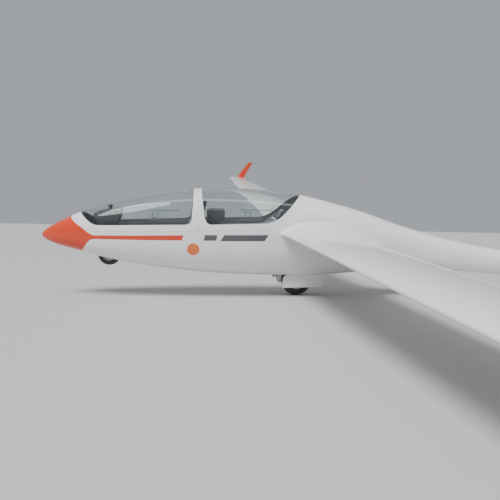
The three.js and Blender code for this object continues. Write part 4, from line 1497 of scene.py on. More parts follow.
def tyre(x, z, radius, width, grooves, depth):
    groove_half = 1.8
    across = set(np.linspace(-0.42, 0.42, 57) * width)
    centres = [share * width for share in grooves]
    for centre in centres:
        across |= {centre + way * edge for way in (-1, 1) for edge in (groove_half, groove_half + 0.5)}
    profile = []
    for y in sorted(across):
        dent = depth if any(abs(y - centre) <= groove_half + 0.01 for centre in centres) else 0
        profile.append((float(CROWN(abs(y) / width)) * radius - dent, y))
    right = [(r * radius, w * width) for r, w in SIDEWALL]
    left = [(r, -w) for r, w in right[::-1]]
    return lathe(profile + right + left, x, z, 120)


print("a tyre's crown falls to", round(float(CROWN(0.42)), 3), "of its radius at the edge")


HUB_HALF = [
    (0.15, 0.46),
    (0.165, 0.452),
    (0.2, 0.43),
    (0.22, 0.38),
    (0.232, 0.2),
    (0.26, 0.165),
    (0.44, 0.18),
    (0.475, 0.2),
    (0.5, 0.29),
    (0.52, 0.355),
    (0.54, 0.38),
    (0.562, 0.38),
    (0.567, 0.36),
]


def hub(x, z, radius, width, axle):
    half = [(axle + 0.4, 0.46 * width)] + [(r * radius, w * width) for r, w in HUB_HALF]
    body = lathe(half + [(r, -y) for r, y in half[::-1]], x, z)
    turns = np.arange(6) * math.pi / 3
    ring = on_circle(x, z, 0.35 * radius, turns)
    body = cut(body, many(*[cross_rod(*spot, -width, width, 0.075 * radius, sides=32) for spot in ring]))
    bolts = []
    for spot in on_circle(x, z, 0.185 * radius, turns + math.pi / 6):
        for way in (-1, 1):
            bolts.append(cross_rod(*spot, way * 0.42 * width, way * 0.475 * width, 0.022 * radius, sides=6))
    return join(body, many(*bolts))


# %% Three wheels on their axles
MAIN = {"x": 3027, "z": 190, "radius": 189.6, "width": 145}
NOSE = {"x": 748, "z": 494, "radius": 129.6, "width": 85}
TAIL = {"x": 7950, "z": 100, "radius": 99.6, "width": 50}
GROOVES = (-0.26, -0.13, 0, 0.13, 0.26)
for name, size, axle, grooves, depth in (
    ("main_wheel", MAIN, 12, GROOVES, 3.2),
    ("nose_wheel", NOSE, 9, GROOVES[1:4], 2.4),
    ("tail_wheel", TAIL, 6, (-0.15, 0.15), 1.5),
):
    rubber = tyre(**size, grooves=grooves, depth=depth)
    dress(rubber, f"{name}_rubber", RUBBER, [f"{name}_tyre"], name, sharp=28)
    width, valve_at = size["width"], size["z"] + 0.45 * size["radius"]
    valve = cross_rod(size["x"], valve_at, 0.17 * width, 0.36 * width, 3.6, 2.6, 16)
    dress(join(hub(**size, axle=axle), valve), f"{name}_casting", ALLOY, [f"{name}_hub"], name)

# %% Brake disc of the main wheel
DISC_FRONT, DISC_BACK = -45, -40
disc_loop = [(52, DISC_BACK), (87, DISC_BACK), (87, DISC_FRONT), (52, DISC_FRONT)]
brake_disc = lathe(disc_loop, MAIN["x"], MAIN["z"])
vents = []
for k, angle in enumerate(np.arange(16) * math.pi / 8):
    for radius in (62, 76) if k % 2 else (69,):
        spot = on_circle(MAIN["x"], MAIN["z"], radius, [angle])[0]
        vents.append(cross_rod(*spot, DISC_FRONT - 5, DISC_BACK + 10, 3, sides=16))
brake_disc = cut(brake_disc, many(*vents))
dress(brake_disc, "main_wheel_brake_disc", POLISHED, rides_on="main_wheel")

# %% [markdown]
# ## Landing gear, doors and tow hook
#
# The main wheel hangs between two steel plates. Lightening holes leave metal only where the load
# runs. Two doors close the bay in flight; on the ground they hang beside the wheel from small dark
# hinges. The nose wheel turns on a short axle in its box, and the tail wheel sits in a fairing.

# %% Main gear leg
leg_outline = [
    (2992, 160, 20),
    (3062, 160, 20),
    (3078, 300),
    (3130, WELL_ROOF - 0.3),
    (2985, WELL_ROOF - 0.3),
    (2976, 300),
]
leg_holes = [(3027, 255, 18), (3030, 318, 20), (3042, 385, 24)]


def on_main_axle(start, end, radius, sides=24):
    return cross_rod(MAIN["x"], MAIN["z"], start, end, radius, sides=sides)


leg = []
for inner, outer in ((-92, -80), (80, 92)):
    holes = [cross_rod(x, z, inner - 9, outer + 9, r, sides=40) for x, z, r in leg_holes]
    plate = cut(slab(leg_outline, inner, outer), many(*holes))
    leg.append(softened(plate, 1.6, 2))
leg = join(
    *leg,
    softened(block(2985, 3130, -92, 92, WELL_ROOF - 14.3, WELL_ROOF - 0.3), 1.5, 2),
    on_main_axle(-97, 97, 12, 48),
    on_main_axle(-96, -90, 19, 6),
    on_main_axle(90, 96, 19, 6),
    softened(block(3004, 3050, -81, -46.5, 250, 276), 4, 3),
    cross_rod(3027, 262, -66, -98, 10, sides=32),
)
dress(leg, "main_gear_fork", STEEL, ["main_gear_leg"])

# %% Doors and their hinges
DOOR_Y, DOOR_DROP, DOOR_THICK = 141, 165, 6
DOOR_AXIS_FRONT, DOOR_AXIS_REAR = 289.5, 304
DOOR_HINGES = (2939, 3215)
door_axis_z = batten([[DOOR_FRONT, DOOR_AXIS_FRONT], [DOOR_REAR, DOOR_AXIS_REAR]], 1)
door_along = unit(np.array([DOOR_REAR - DOOR_FRONT, 0, DOOR_AXIS_REAR - DOOR_AXIS_FRONT]))


def door_panel(way):
    """A door with the stiffening panel on its inner face; way is 1 on the right."""
    y = way * DOOR_Y
    front, rear = DOOR_AXIS_FRONT - 2, DOOR_AXIS_REAR - 2
    outline = [
        (DOOR_FRONT, front, 70),
        (DOOR_REAR, rear, 12),
        (DOOR_REAR, rear - DOOR_DROP, 25),
        (DOOR_FRONT, front - DOOR_DROP, 25),
    ]
    rib = [
        (DOOR_FRONT + 60, front - 42, 20),
        (DOOR_REAR - 35, rear - 34, 20),
        (DOOR_REAR - 35, rear - 132, 20),
        (DOOR_FRONT + 60, front - 132, 20),
    ]
    door = softened(slab(outline, y - DOOR_THICK / 2, y + DOOR_THICK / 2, steps=14), 1.6, 2)
    return join(door, softened(slab(rib, *sorted((y - way * 2, y - way * 6.5))), 1.5, 2))


lugs = []
for side, way in (("left", -1), ("right", 1)):
    y = way * DOOR_Y
    door = door_panel(way)
    for x in DOOR_HINGES:
        z = float(door_axis_z(x))
        at = np.array([x, y, z])
        door = cut(door, block(x - 7, x + 7, y - 9, y + 9, z - 9, z + 9))
        knuckles = []
        for start, end in ((-16, -7), (7, 16)):
            knuckles.append(rod(at + door_along * start, at + door_along * end, 6, sides=28))
        door = cut(join(door, *knuckles), rod(at - door_along * 18, at + door_along * 18, 3.5, sides=20))
        lug = block(x - 6, x + 6, *sorted((way * (DOOR_HALF + 6), y - way * 5)), z - 5, z + 5)
        lugs += [softened(lug, 1, 2), rod(at - door_along * 19, at + door_along * 19, 3, sides=20)]
    name = f"gear_door_{side}"
    dress(door, f"{name}_panel", WHITE_GELCOAT, [name], name)
dress(join(*lugs), "gear_door_hinges", DARK_STEEL)

# %% Tail wheel fairing
FAIRING_OUTLINE = rounded(
    [(7770, 0, 10), (7860, 46, 60), (8050, 46, 60), (8180, 0, 10), (8050, -46, 60), (7860, -46, 60)], 12
)
FAIRING_MIDDLE = np.array([7960, 0])
# Columns: height, share of the full outline
FAIRING = [(64, 0.93), (65.5, 0.965), (68.5, 0.99), (74, 1), (120, 1), (170, 1), (220, 1)]
fairing_rings = []
for z, share in FAIRING:
    flat = FAIRING_MIDDLE + (FAIRING_OUTLINE - FAIRING_MIDDLE) * share
    fairing_rings.append(np.column_stack([flat, np.full(len(flat), z)]))
fairing = cut(hoops(fairing_rings), block(*TAIL_WELL), hull(7000, FUSELAGE_END, SUNK))
fairing = join(
    fairing,
    cross_rod(TAIL["x"], TAIL["z"], -42, 42, 6, sides=32),
    cross_rod(TAIL["x"], TAIL["z"], -48.5, -40, 11, sides=6),
    cross_rod(TAIL["x"], TAIL["z"], 40, 48.5, 11, sides=6),
)


def steel_or_white(centre, normal):
    on_axle = math.hypot(centre[0] - TAIL["x"], centre[2] - TAIL["z"]) < 11.5
    in_wall = 30.9 < abs(centre[1]) < 46.2
    return 1 if on_axle and not in_wall else 0


sides = [WHITE_GELCOAT, STEEL]
dress(fairing, "tail_wheel_fairing", sides, ["tail_wheel_fork"], sort=steel_or_white)

# %% Nose axle, tow hook and nose vent
nose_axle = join(
    cross_rod(NOSE["x"], NOSE["z"], -60.7, 60.7, 9, sides=36),
    cross_rod(NOSE["x"], NOSE["z"], -51, -42, 15, sides=36),
    cross_rod(NOSE["x"], NOSE["z"], 42, 51, 15, sides=36),
)
dress(nose_axle, "nose_wheel_spindle", STEEL, ["nose_wheel_axle"])

beak = [(2772, 300), (2766, 240), (2776, 196), (2798, 160)]
beak += [(2806, 166), (2790, 200), (2786, 240), (2792, 300)]
hook = join(
    softened(block(2716, 2782, -18, 18, 232, 320), 4, 3),
    softened(slab(beak, -17, -9), 1.5, 2),
    softened(slab(beak, 9, 17), 1.5, 2),
    cross_rod(2779, 246, -18.5, 18.5, 5),
    cross_rod(2730, 250, -19.5, 19.5, 6, sides=6),
)
dress(cut(hook, hull(2600, 3000, SUNK)), "tow_release", STEEL, ["tow_hook"])

vent = lathe([(4.5, 0), (8.5, 0), (9.5, 1), (9.5, 24), (4.5, 24)], sides=48)
vent = moved(vent, Matrix.Translation((0.3, 0, 716)) @ Matrix.Rotation(-math.pi / 2, 4, "Z"))
dress(vent, "nose_vent", VENT_GREY)

# %% The fuselage's half of the canopy hinges
canopy_lugs = []
for k, along in hinge_points("front") + hinge_points("rear"):
    for start, end in ((-26, -12.5), (12.5, 26)):
        plate = block(k[0] + start, k[0] + end, k[1] - 26, k[1], k[2] - 16, k[2] - 3)
        canopy_lugs += [softened(plate, 1, 2), rod(k + along * start, k + along * end, 7, sides=32)]
    canopy_lugs.append(rod(k - along * 27, k + along * 27, 3.5))
dress(join(*canopy_lugs), "canopy_hinge_lugs", STEEL)

# %% [markdown]
# ## Seat shells
#
# The seats are thin moulded shells, not upholstered chairs: a pan that carries the pilot's thighs and
# a plate that leans back. Each is an outline in the side view carried across the cockpit. The pan
# runs out to the walls, so it is trimmed with the fuselage's own inner shape.

# %% Pans, back plates and side ledges
LINER_GAP = WALL + 0.4
PAN_FRONT = [
    (1000, 604),
    (1100, 584, 30),
    (1410, 492, 60),
    (1500, 520),
    (1508, 506),
    (1420, 466, 60),
    (1090, 562, 30),
    (1000, 582),
]
PAN_REAR = [
    (2045, 700),
    (2190, 664, 30),
    (2390, 600, 40),
    (2470, 622),
    (2478, 608),
    (2400, 578, 40),
    (2180, 642, 30),
    (2045, 678),
]
BACK_FRONT = [(1500.3, 520.2), (1508.3, 506.2), (1822, 1000), (1800, 1010)]
BACK_REAR = [(2470.3, 622.2), (2478.3, 608.2), (2740, 950), (2718, 960)]
LEDGE = [
    (1090, 645),
    (1760, 645),
    (2060, 714),
    (2600, 714),
    (2600, 757, 12),
    (2050, 757),
    (1750, 692),
    (1090, 688, 12),
]
SEAT_HALF_WIDTH = 205
LEDGE_FROM = 214
BELT_SLOT_AT = 72


def trimmed(body):
    return common(body, hull(*HOLLOW_ENDS, LINER_GAP, 96))


def ways(start, end):
    """Unit directions along a line of the side view and square to it."""
    way = unit(np.array(end[:2], float) - np.array(start[:2], float))
    return way, np.array([-way[1], way[0]])


for end, pan, back in (("front", PAN_FRONT, BACK_FRONT), ("rear", PAN_REAR, BACK_REAR)):
    shell = softened(trimmed(slab(pan, -600, 600)), 2.5, 2, 50)
    dress(shell, f"seat_pan_{end}_shell", SHELL_GREY, [f"seat_pan_{end}"])
    plate = softened(slab(back, -SEAT_HALF_WIDTH, SEAT_HALF_WIDTH), 4)
    foot, head = np.array(back[0]), np.array(back[3])
    x, z = foot + (head - foot) * 0.93
    slots = [block(x - 40, x + 40, y - 27, y + 27, z - 6, z + 6) for y in (-BELT_SLOT_AT, BELT_SLOT_AT)]
    dress(cut(plate, *slots), f"seat_back_{end}_shell", SHELL_GREY, [f"seat_back_{end}"])
for side, low, high in (("right", LEDGE_FROM, 600), ("left", -600, -LEDGE_FROM)):
    ledge = softened(trimmed(slab(LEDGE, low, high)), 3, 3, 50)
    dress(ledge, f"console_{side}_ledge", LINER, [f"console_{side}"])

# %% [markdown]
# ## Cushions
#
# A cushion is a sewn bag with foam in it. The cover pulls in along its seams and swells between
# them. Here a slightly thin pad is drawn along the seat's own line, and Blender's cloth solver blows
# it up with a little inner pressure while its underside stays put. The sewn channels are pressed in
# afterwards, where the thread would hold the cover down, and a piped edge runs round the rim.

# %% Draw a pad along a line of the seat
PAD_CELL = 9
# Shares of a pad's length and width over which its edges are rounded, and of its thickness at the edge
SOFT_ALONG, SOFT_ACROSS = 0.1, 0.08
EDGE_RISE = 0.28
NARROWING = 0.035


def spaced(path, step):
    path = np.asarray(path, float)
    along = np.concatenate([[0], np.cumsum(np.linalg.norm(np.diff(path, axis=0), axis=1))])
    at = np.linspace(0, along[-1], max(2, round(along[-1] / step) + 1))
    return np.stack([np.interp(at, along, column) for column in path.T], 1)


def side_normals(line, towards):
    direction = np.gradient(line, axis=0)
    normal = np.stack([-direction[:, 1], direction[:, 0]], 1)
    normal /= np.linalg.norm(normal, axis=1)[:, None]
    return normal * np.sign(normal @ np.array(towards))[:, None]


def in_middle(flat):
    """Points of the side view as points of the drawing, at Y 0."""
    return np.stack([flat[:, 0], 0 * flat[:, 0], flat[:, 1]], 1)


def edge_round(share, soft):
    """1 in the middle of a pad, falling to 0 at its two edges like a quarter circle."""
    near = np.clip(np.minimum(share, 1 - share) / soft, 0, 1)
    return np.sqrt(np.clip(1 - (1 - near) ** 2, 0, 1))


def pad_grid(line, towards, half_width, thickness):
    """A thin pad on a line: its body, the grid of its lower points and the loop round its edge."""
    line = spaced(line, PAD_CELL)
    normal = side_normals(line, towards)
    across = np.linspace(-half_width, half_width, round(2 * half_width / PAD_CELL) + 1)
    rows, columns = len(line), len(across)
    s = np.linspace(0, 1, rows)[:, None]
    v = np.linspace(0, 1, columns)[None, :]
    rise = EDGE_RISE + (1 - EDGE_RISE) * edge_round(s, SOFT_ALONG) * edge_round(v, SOFT_ACROSS)
    pull = 1 - NARROWING * (1 - edge_round(s, 0.5))
    y = across[None, :] * pull
    low = np.stack([line[:, :1] + 0 * y, y, line[:, 1:] + 0 * y], -1)
    high = low + rise[..., None] * thickness * in_middle(normal)[:, None, :]
    count = rows * columns
    index = np.arange(count).reshape(rows, columns)
    faces = []
    for k in range(rows - 1):
        a, b = index[k, :-1], index[k, 1:]
        c, d = index[k + 1, 1:], index[k + 1, :-1]
        faces += np.stack([a, b, c, d], 1).tolist()
        faces += (np.stack([a, d, c, b], 1) + count).tolist()
    rim = [*index[0, :-1], *index[:-1, -1], *index[-1, :0:-1], *index[:0:-1, 0]]
    for i, here in enumerate(rim):
        after = rim[(i + 1) % len(rim)]
        faces.append([here, here + count, after + count, after])
    return solid(np.concatenate([low.reshape(-1, 3), high.reshape(-1, 3)]), faces), index, rim


print("pads are drawn in cells of", PAD_CELL, "mm")


# %% Blow a pad up with the cloth solver
CLOTH = {
    "quality": 6,
    "mass": 0.25,
    "tension_stiffness": 18,
    "compression_stiffness": 18,
    "bending_stiffness": 0.4,
    "use_pressure": True,
    "uniform_pressure_force": 3.2,
    "vertex_group_mass": "pinned",
}
CLOTH_FRAMES = 20


def stuffed(body, pinned, cap):
    """Swells a pad by cloth pressure, no point further than cap, and keeps its pinned points."""
    rest = points_of(body)
    body.scale = (0.001, 0.001, 0.001)
    group = body.vertex_groups.new(name="pinned")
    group.add([int(i) for i in pinned], 1.0, "REPLACE")
    modifier = body.modifiers.new("cloth", "CLOTH")
    for key, value in CLOTH.items():
        setattr(modifier.settings, key, value)
    modifier.settings.effector_weights.gravity = 0
    modifier.collision_settings.use_collision = False
    modifier.point_cache.frame_start = 1
    modifier.point_cache.frame_end = CLOTH_FRAMES
    for step in range(1, CLOTH_FRAMES + 1):
        bpy.context.scene.frame_set(step)
    move = points_of(body.evaluated_get(bpy.context.evaluated_depsgraph_get())) - rest
    body.modifiers.clear()
    body.vertex_groups.clear()
    body.scale = (1, 1, 1)
    bpy.context.scene.frame_set(1)
    far = np.linalg.norm(move, axis=1)[:, None]
    print("cloth moved up to", round(float(far.max()), 1), "mm")
    set_points(body, rest + move * np.minimum(1, cap / np.maximum(far, 1e-6)))
    return body


print("pressure", CLOTH["uniform_pressure_force"], "for", CLOTH_FRAMES, "frames")


# %% Tubes and finer skins
def tube(path, radius, closed=False, sides=12):
    path = np.asarray(path, float)
    if closed:
        direction = np.roll(path, -1, 0) - np.roll(path, 1, 0)
    else:
        direction = np.gradient(path, axis=0)
    direction /= np.linalg.norm(direction, axis=1)[:, None]
    up = np.array([0.0, 0.0, 1.0]) if abs(direction[0] @ (0, 0, 1)) < 0.9 else np.array([1.0, 0, 0])
    side = np.cross(direction[0], up)
    angle = np.linspace(0, 2 * math.pi, sides, endpoint=False)[:, None]
    rings = []
    for here, along, r in zip(path, direction, np.broadcast_to(radius, len(path))):
        side = unit(side - along * (side @ along))
        rings.append(here + r * (np.cos(angle) * side + np.sin(angle) * np.cross(along, side)))
    return closed_hoops(rings) if closed else hoops(rings)


def subdivided(body):
    body.modifiers.new("smooth", "SUBSURF").levels = 1
    return settled(body)


# %% A whole cushion: stuff it, sew it, pipe its edge
SEAM_HALF = 8.0
PIPING_RADIUS = 3.4


def seam(distance):
    """How far a seam presses in, from 1 on its line to 0 some way off."""
    return np.exp(-((distance / SEAM_HALF) ** 2))


def cushion(name, line, towards, size, seams_along, seams_across, cap, stands_for, cloth, sew=7.0):
    """size: half width and thickness; seams: Y of those along the pad, share of it of those across."""
    half_width, thickness = size
    body, index, rim = pad_grid(line, towards, half_width, thickness)
    body = stuffed(body, index.ravel(), cap)
    points = points_of(body)
    count = index.size
    top = points[count:].reshape(*index.shape, 3)
    normal = side_normals(spaced(line, PAD_CELL), towards)
    s = np.linspace(0, 1, index.shape[0])[:, None]
    y = np.linspace(-half_width, half_width, index.shape[1])[None, :]
    press = np.zeros(index.shape)
    for at in seams_across:
        press = np.maximum(press, seam((s - at) * len(s) * PAD_CELL) + 0 * y)
    for at in seams_along:
        press = np.maximum(press, seam(y - at) + 0 * s)
    inside = edge_round(s, SOFT_ALONG) * edge_round((y + half_width) / (2 * half_width), SOFT_ACROSS)
    top -= (sew * press * inside)[..., None] * in_middle(normal)[:, None, :]
    points[count:] = top.reshape(-1, 3)
    set_points(body, points)
    edge = tube([points[count + i] for i in rim], PIPING_RADIUS, closed=True, sides=10)
    dress(edge, f"{name}_piping", PIPING_CLOTH, sharp=180)
    body = subdivided(body)
    faces = [list(p.vertices) for p in body.data.polygons]
    surface = BVHTree.FromPolygons([v.co.copy() for v in body.data.vertices], faces)
    made = dress(body, name, cloth, stands_for, sharp=75)
    return surface


print("a seam pulls the cover in over", 2 * SEAM_HALF, "mm")


# %% Seat and back cushions
LINE_LIFT = 0.6
SEAT_LINES = {
    "front": rounded([(1104, 583.8), (1410.5, 493, 60), (1470, 511.5)], 10) + (0, LINE_LIFT),
    "rear": rounded([(2156, 673.2), (2190, 665, 20), (2390.5, 601, 40), (2446, 616.5)], 10) + (0, LINE_LIFT),
}
SEAT_LINES["front"][0] = (1104, 584.6)
SEAT_LINES["rear"][0] = (2156, 673.9)
BACK_PAD_FROM = 44
# For each seat: its back plate, how far up the back pad reaches, and the back pad's seams
BACKS = {
    "front": (BACK_FRONT, 560, (0.2, 0.4, 0.6, 0.8)),
    "rear": (BACK_REAR, 402, (0.25, 0.5, 0.75)),
}
cushions = {}
for end, line in SEAT_LINES.items():
    back, length, seams = BACKS[end]
    stands_for = [f"seat_cushion_{end}"]
    seat = cushion(f"seat_pad_{end}", line, (0, 1), (188, 34), (-62, 62), (), 12, stands_for, SEAT_CLOTH)
    foot = np.array(back[0])
    up_way, out = ways(foot, back[3])
    back_line = [foot + up_way * reach + out * LINE_LIFT for reach in (BACK_PAD_FROM, length)]
    rest = cushion(f"back_pad_{end}", back_line, out, (184, 32), (), seams, 12, stands_for, SEAT_CLOTH)
    cushions[end] = (seat, rest, line, back)

# %% Headrests
HEADREST = {
    "front": [
        (1800.4, 1010.6), (1822.4, 1000.6), (1859, 1041, 12),
        (1885, 1147, 14), (1868, 1152, 5), (1842, 1050, 12),
    ],
    "rear": [
        (2718.4, 960.6), (2740.4, 950.6), (2777, 975, 12),
        (2822, 1062, 14), (2806, 1069, 5), (2762, 988, 12),
    ],
}
for end, outline in HEADREST.items():
    dress(softened(slab(outline, -52, 52), 3), f"headrest_{end}_plate", PANEL_BLACK)
    low, high = np.array(outline[5][:2]), np.array(outline[4][:2])
    way, out = ways(low, high)
    face = [low + way * 2 + out * LINE_LIFT, high - way * 3 + out * LINE_LIFT]
    name = f"headrest_{end}"
    cushion(f"{name}_pad", face, out, (60, 20), (), (0.5,), 6, [name], REST_CLOTH, sew=4.0)

# %% [markdown]
# ## Harness
#
# Four straps hold each pilot, and they meet in one round buckle. On a parked sailplane they lie
# on the cushions. Webbing is a woven ribbon, so each strap is a thin strip whose two edges are laid
# onto the cushion's real surface, point by point, and then given its thickness.


# %% Lay straps on the cushions
BELT_WIDTH = 44
BELT_THICKNESS = 1.8
# Height above the cushion before and after the strap is smoothed
BELT_LIFT, BELT_REST = 1.6, 1.2
PROBE_REACH = 120


def strap(centres, across, surface):
    """centres: points just above the cushion, in order; across: the way its width runs."""
    centres = np.asarray(centres, float)
    direction = np.gradient(centres, axis=0)
    direction /= np.linalg.norm(direction, axis=1)[:, None]
    across = np.asarray(across, float)
    normal = np.cross(direction, across)
    normal /= np.linalg.norm(normal, axis=1)[:, None]
    if normal[len(normal) // 2, 2] < 0:
        normal = -normal
    lanes = np.linspace(-0.5, 0.5, 5) * BELT_WIDTH
    laid = np.zeros((len(centres), len(lanes), 3))
    for i, centre in enumerate(centres):
        for k, lane in enumerate(lanes):
            spot = centre + across * lane
            above = spot + normal[i] * PROBE_REACH
            hit, _, _, far = surface.ray_cast(Vector(above), Vector(-normal[i]), 2 * PROBE_REACH)
            height = 0.0 if hit is None else max(0.0, PROBE_REACH - far)
            laid[i, k] = spot + normal[i] * (height + BELT_LIFT)
    for _ in range(6):
        laid[1:-1] = (laid[:-2] + 2 * laid[1:-1] + laid[2:]) / 4
    laid += normal[:, None, :] * BELT_REST
    over = laid + normal[:, None, :] * BELT_THICKNESS
    return hoops([np.concatenate([row, upper[::-1]]) for row, upper in zip(laid, over)])


def on_line(line, share):
    """The point at a share of a line of the side view, at Y 0."""
    line = spaced(line, 6)
    x, z = line[int(round(share * (len(line) - 1)))]
    return np.array([x, 0, z])


def shoulder_strap(side, back, rest):
    foot, head = np.array(back[0]), np.array(back[3])
    up_way, out = ways(foot, head)
    length = np.linalg.norm(head - foot)
    path = []
    for s in np.arange(length - 8, 70, -14):
        x, z = foot + up_way * s + out * 4
        path.append((x, side * (BELT_SLOT_AT - 34 * (1 - s / length)), z))
    return strap(path, (0, 1, 0), rest)


def lap_strap(side, line, seat):
    start, stop = on_line(line, 0.86)[0], on_line(line, 0.5)[0]
    path = []
    for t in np.linspace(0, 1, 22):
        x = start * (1 - t) + stop * t
        path.append((x, side * (184 * (1 - t) + 42 * t), np.interp(x, line[:, 0], line[:, 1]) + 1))
    run = unit(np.array(path[-1]) - np.array(path[0]))
    return strap(path, unit(np.cross(run, (0, 0, 1))), seat)


for end, (seat, rest, line, back) in cushions.items():
    straps = []
    for side in (-1, 1):
        straps += [shoulder_strap(side, back, rest), lap_strap(side, line, seat)]
    dress(many(*straps), f"harness_{end}_straps", BELT_CLOTH, sharp=50)

# %% Round buckles
LIE_FLAT = Matrix.Rotation(math.pi / 2, 4, "X")
for end, (seat, _, line, _) in cushions.items():
    above = on_line(line, 0.48) + (0, 0, 200)
    hit, normal, _, _ = seat.ray_cast(Vector(above), Vector((0, 0, -1)), 400)
    tilt = Vector((0, 0, 1)).rotation_difference(normal).to_matrix().to_4x4()
    on_seat = Matrix.Translation(hit + Vector((0, 0, 5))) @ tilt
    place = on_seat @ LIE_FLAT @ Matrix.Rotation(math.pi / 2, 4, "Y")
    disc = lathe([(3, 0), (33, 0), (35, 3), (35, 12), (31, 16), (12, 17.5), (3, 17.5)], sides=64)
    knob = softened(block(-27, 27, 16.5, 24, -7, 7), 2.5)
    lugs = [softened(block(x - 15, x + 15, 4, 9, -17, 17), 2, 2) for x in (-39, 39)]
    dress(moved(join(disc, *lugs), place), f"harness_{end}_buckle", STEEL)
    dress(moved(knob, place), f"harness_{end}_buckle_knob", RED_PLASTIC)

# %% [markdown]
# ## Sticks, levers and pedals
#
# Each pilot has a stick with a moulded grip and a rubber boot, a pair of rudder pedals, and a row of
# knobs along the left wall. Their colours are the same in every sailplane, so that a hand finds them
# without a look: blue for the airbrakes, yellow for the tow release, green for trim, red for the canopy.

# %% Control sticks
STICKS = {
    "front": [(1040, 583), (1046, 700), (1018, 860)],
    "rear": [(2085, 679), (2090, 760), (2068, 862)],
}
GRIP_LENGTH = 92
# Columns: radius and height of the boot's folds
BOOT = [(12, 40), (19, 37), (16, 33), (24, 29), (19, 24), (30, 20), (24, 14), (36, 9), (34, 3), (36, 0.5)]


def upright_lathe(profile, x, y, z, sides=64):
    return moved(lathe(profile, sides=sides), Matrix.Translation((x, y, z)) @ LIE_FLAT)


for end, (foot, knee, head) in STICKS.items():
    path = in_middle(spaced(rounded([foot, (*knee, 50), head], 12), 4))
    far = np.cumsum(np.concatenate([[0], np.linalg.norm(np.diff(path, axis=0), axis=1)]))
    left = far[-1] - far
    dress(tube(path[left > GRIP_LENGTH - 8], 10.5, sides=28), f"control_stick_{end}_tube", STEEL)
    held = path[left < GRIP_LENGTH]
    share = 1 - left[left < GRIP_LENGTH] / GRIP_LENGTH
    swell = np.minimum(15 + 2.2 * np.sin(share * 2.5 * math.pi) ** 2, 16.6)
    swell[0], swell[-1] = 12, 9
    collar = rod(held[0] - (0, 0, 2), held[0] + (0, 0, 8), 16.6, sides=36)
    grip = join(tube(held, swell, sides=36), collar)
    dress(grip, f"control_stick_{end}_grip", GRIP_BLACK, [f"control_stick_{end}"])
    button = rod(path[-1] - (0, 0, 3), path[-1] + (-0.6, 0, 3.2), 5.2, 4.6)
    dress(button, f"control_stick_{end}_button", RED_PLASTIC)
    boot = upright_lathe(BOOT + [(11, 0.5), (11, 40)], foot[0], 0, foot[1] + 1)
    boot = cut(boot, slab(PAN_FRONT if end == "front" else PAN_REAR, -100, 100))
    dress(boot, f"control_stick_{end}_boot", GRIP_BLACK, slot="tyre_rubber")

# %% Rudder pedals
NOSE_BOX_DECK = NOSE_BOX_TOP + 0.3


def pedal(x, y, z):
    face = [(y - 34, z - 64, 9), (y + 34, z - 64, 9), (y + 34, z + 82, 14), (y - 34, z + 82, 14)]
    plate = softened(slab(face, x - 4, x + 4, "x"), 1.2, 2)
    spots = [(y + dy, z + dz) for dy in (-14, 14) for dz in (30, 54)]
    holes = [rod((x - 9, *spot), (x + 9, *spot), 7) for spot in spots]
    heel_bar = softened(block(x - 3, x + 10, y - 30, y + 30, z + 66, z + 74), 2, 2)
    return [cut(plate, many(*holes)), heel_bar, cross_rod(x, z, y - 20, y + 20, 13, sides=32)]


for end, x, z, inner, reach in (("front", 872, NOSE_BOX_DECK + 9, 112, 150), ("rear", 1896.7, 650, 106, 144)):
    cross = cross_rod(x, z, -reach, reach, 9, sides=32)
    pedals = join(cross, *pedal(x, -inner, z), *pedal(x, inner, z))
    dress(pedals, f"rudder_pedals_{end}_plates", STEEL, [f"rudder_pedals_{end}"])


# %% Levers and knobs along the left wall
def wall_y(x, z, gap=LINER_GAP):
    """Where the cockpit's left inner wall is, at this station and height."""
    wide = float(hull_wide(x))
    half = float(hull_half(x)) - gap
    up = (float(hull_top(x)) - gap - wide) if z > wide else (wide - float(hull_bottom(x)) - gap)
    power = ROUND_TOP if z > wide else ROUND_BOTTOM
    return -half * max(0.0, 1 - min(1.0, abs(z - wide) / up) ** power) ** (1 / power)


BALL = [(2, -12), (7, -11), (12, -6), (14, 0), (12, 7), (7, 11), (2, 12)]
HANDLE_RADII = [6, 10, 12, 12.5, 12, 11.5, 12, 12.5, 12, 12, 11, 8, 5]


def lever(name, x, z, colour, kind, rail):
    """A knob on a stalk that runs along a rail of the given length."""
    y = wall_y(x, z) + 3
    ends = [block(at - 6, at + 6, y - 6, y + 13, z - 9, z + 9) for at in (x - rail / 2, x + rail / 2)]
    stem = join(
        rod((x - rail / 2, y + 7, z), (x + rail / 2, y + 7, z), 5, sides=20),
        *[softened(end, 2, 2) for end in ends],
        rod((x, y + 7, z), (x, y + 38, z + 3), 5, sides=20),
    )
    dress(stem, f"{name}_rail", STEEL)
    tip = np.array([x, y + 38, z + 3])
    if kind == "handle":
        body = tube([tip + (0, 0, dz) for dz in np.linspace(-26, 34, 13)], HANDLE_RADII)
    else:
        body = upright_lathe(BALL, *tip, sides=40)
    dress(body, f"{name}_knob", colour, sharp=50)


RELEASE_Y = -34
for end, x, z in (("front", 820, 806), ("rear", 2010, 826)):
    cable = rod((x - 1, RELEASE_Y, z), (x + 22, RELEASE_Y, z), 3, sides=20)
    dress(cable, f"tow_release_{end}_rod", STEEL)
    dress(upright_lathe(BALL, x + 32, RELEASE_Y, z, 40), f"tow_release_{end}_knob", YELLOW_PLASTIC, sharp=50)
for end, dx, dz in (("front", 0, 0), ("rear", 1000, 62)):
    lever(f"airbrake_lever_{end}", 1245 + dx, 742 + dz, BLUE_PLASTIC, "handle", 150)
    lever(f"trim_lever_{end}", 1395 + dx, 716 + dz, GREEN_PLASTIC, "ball", 90)
    lever(f"gear_lever_{end}", 1500 + dx, 742 + dz * 1.1, GRIP_BLACK, "handle", 70)

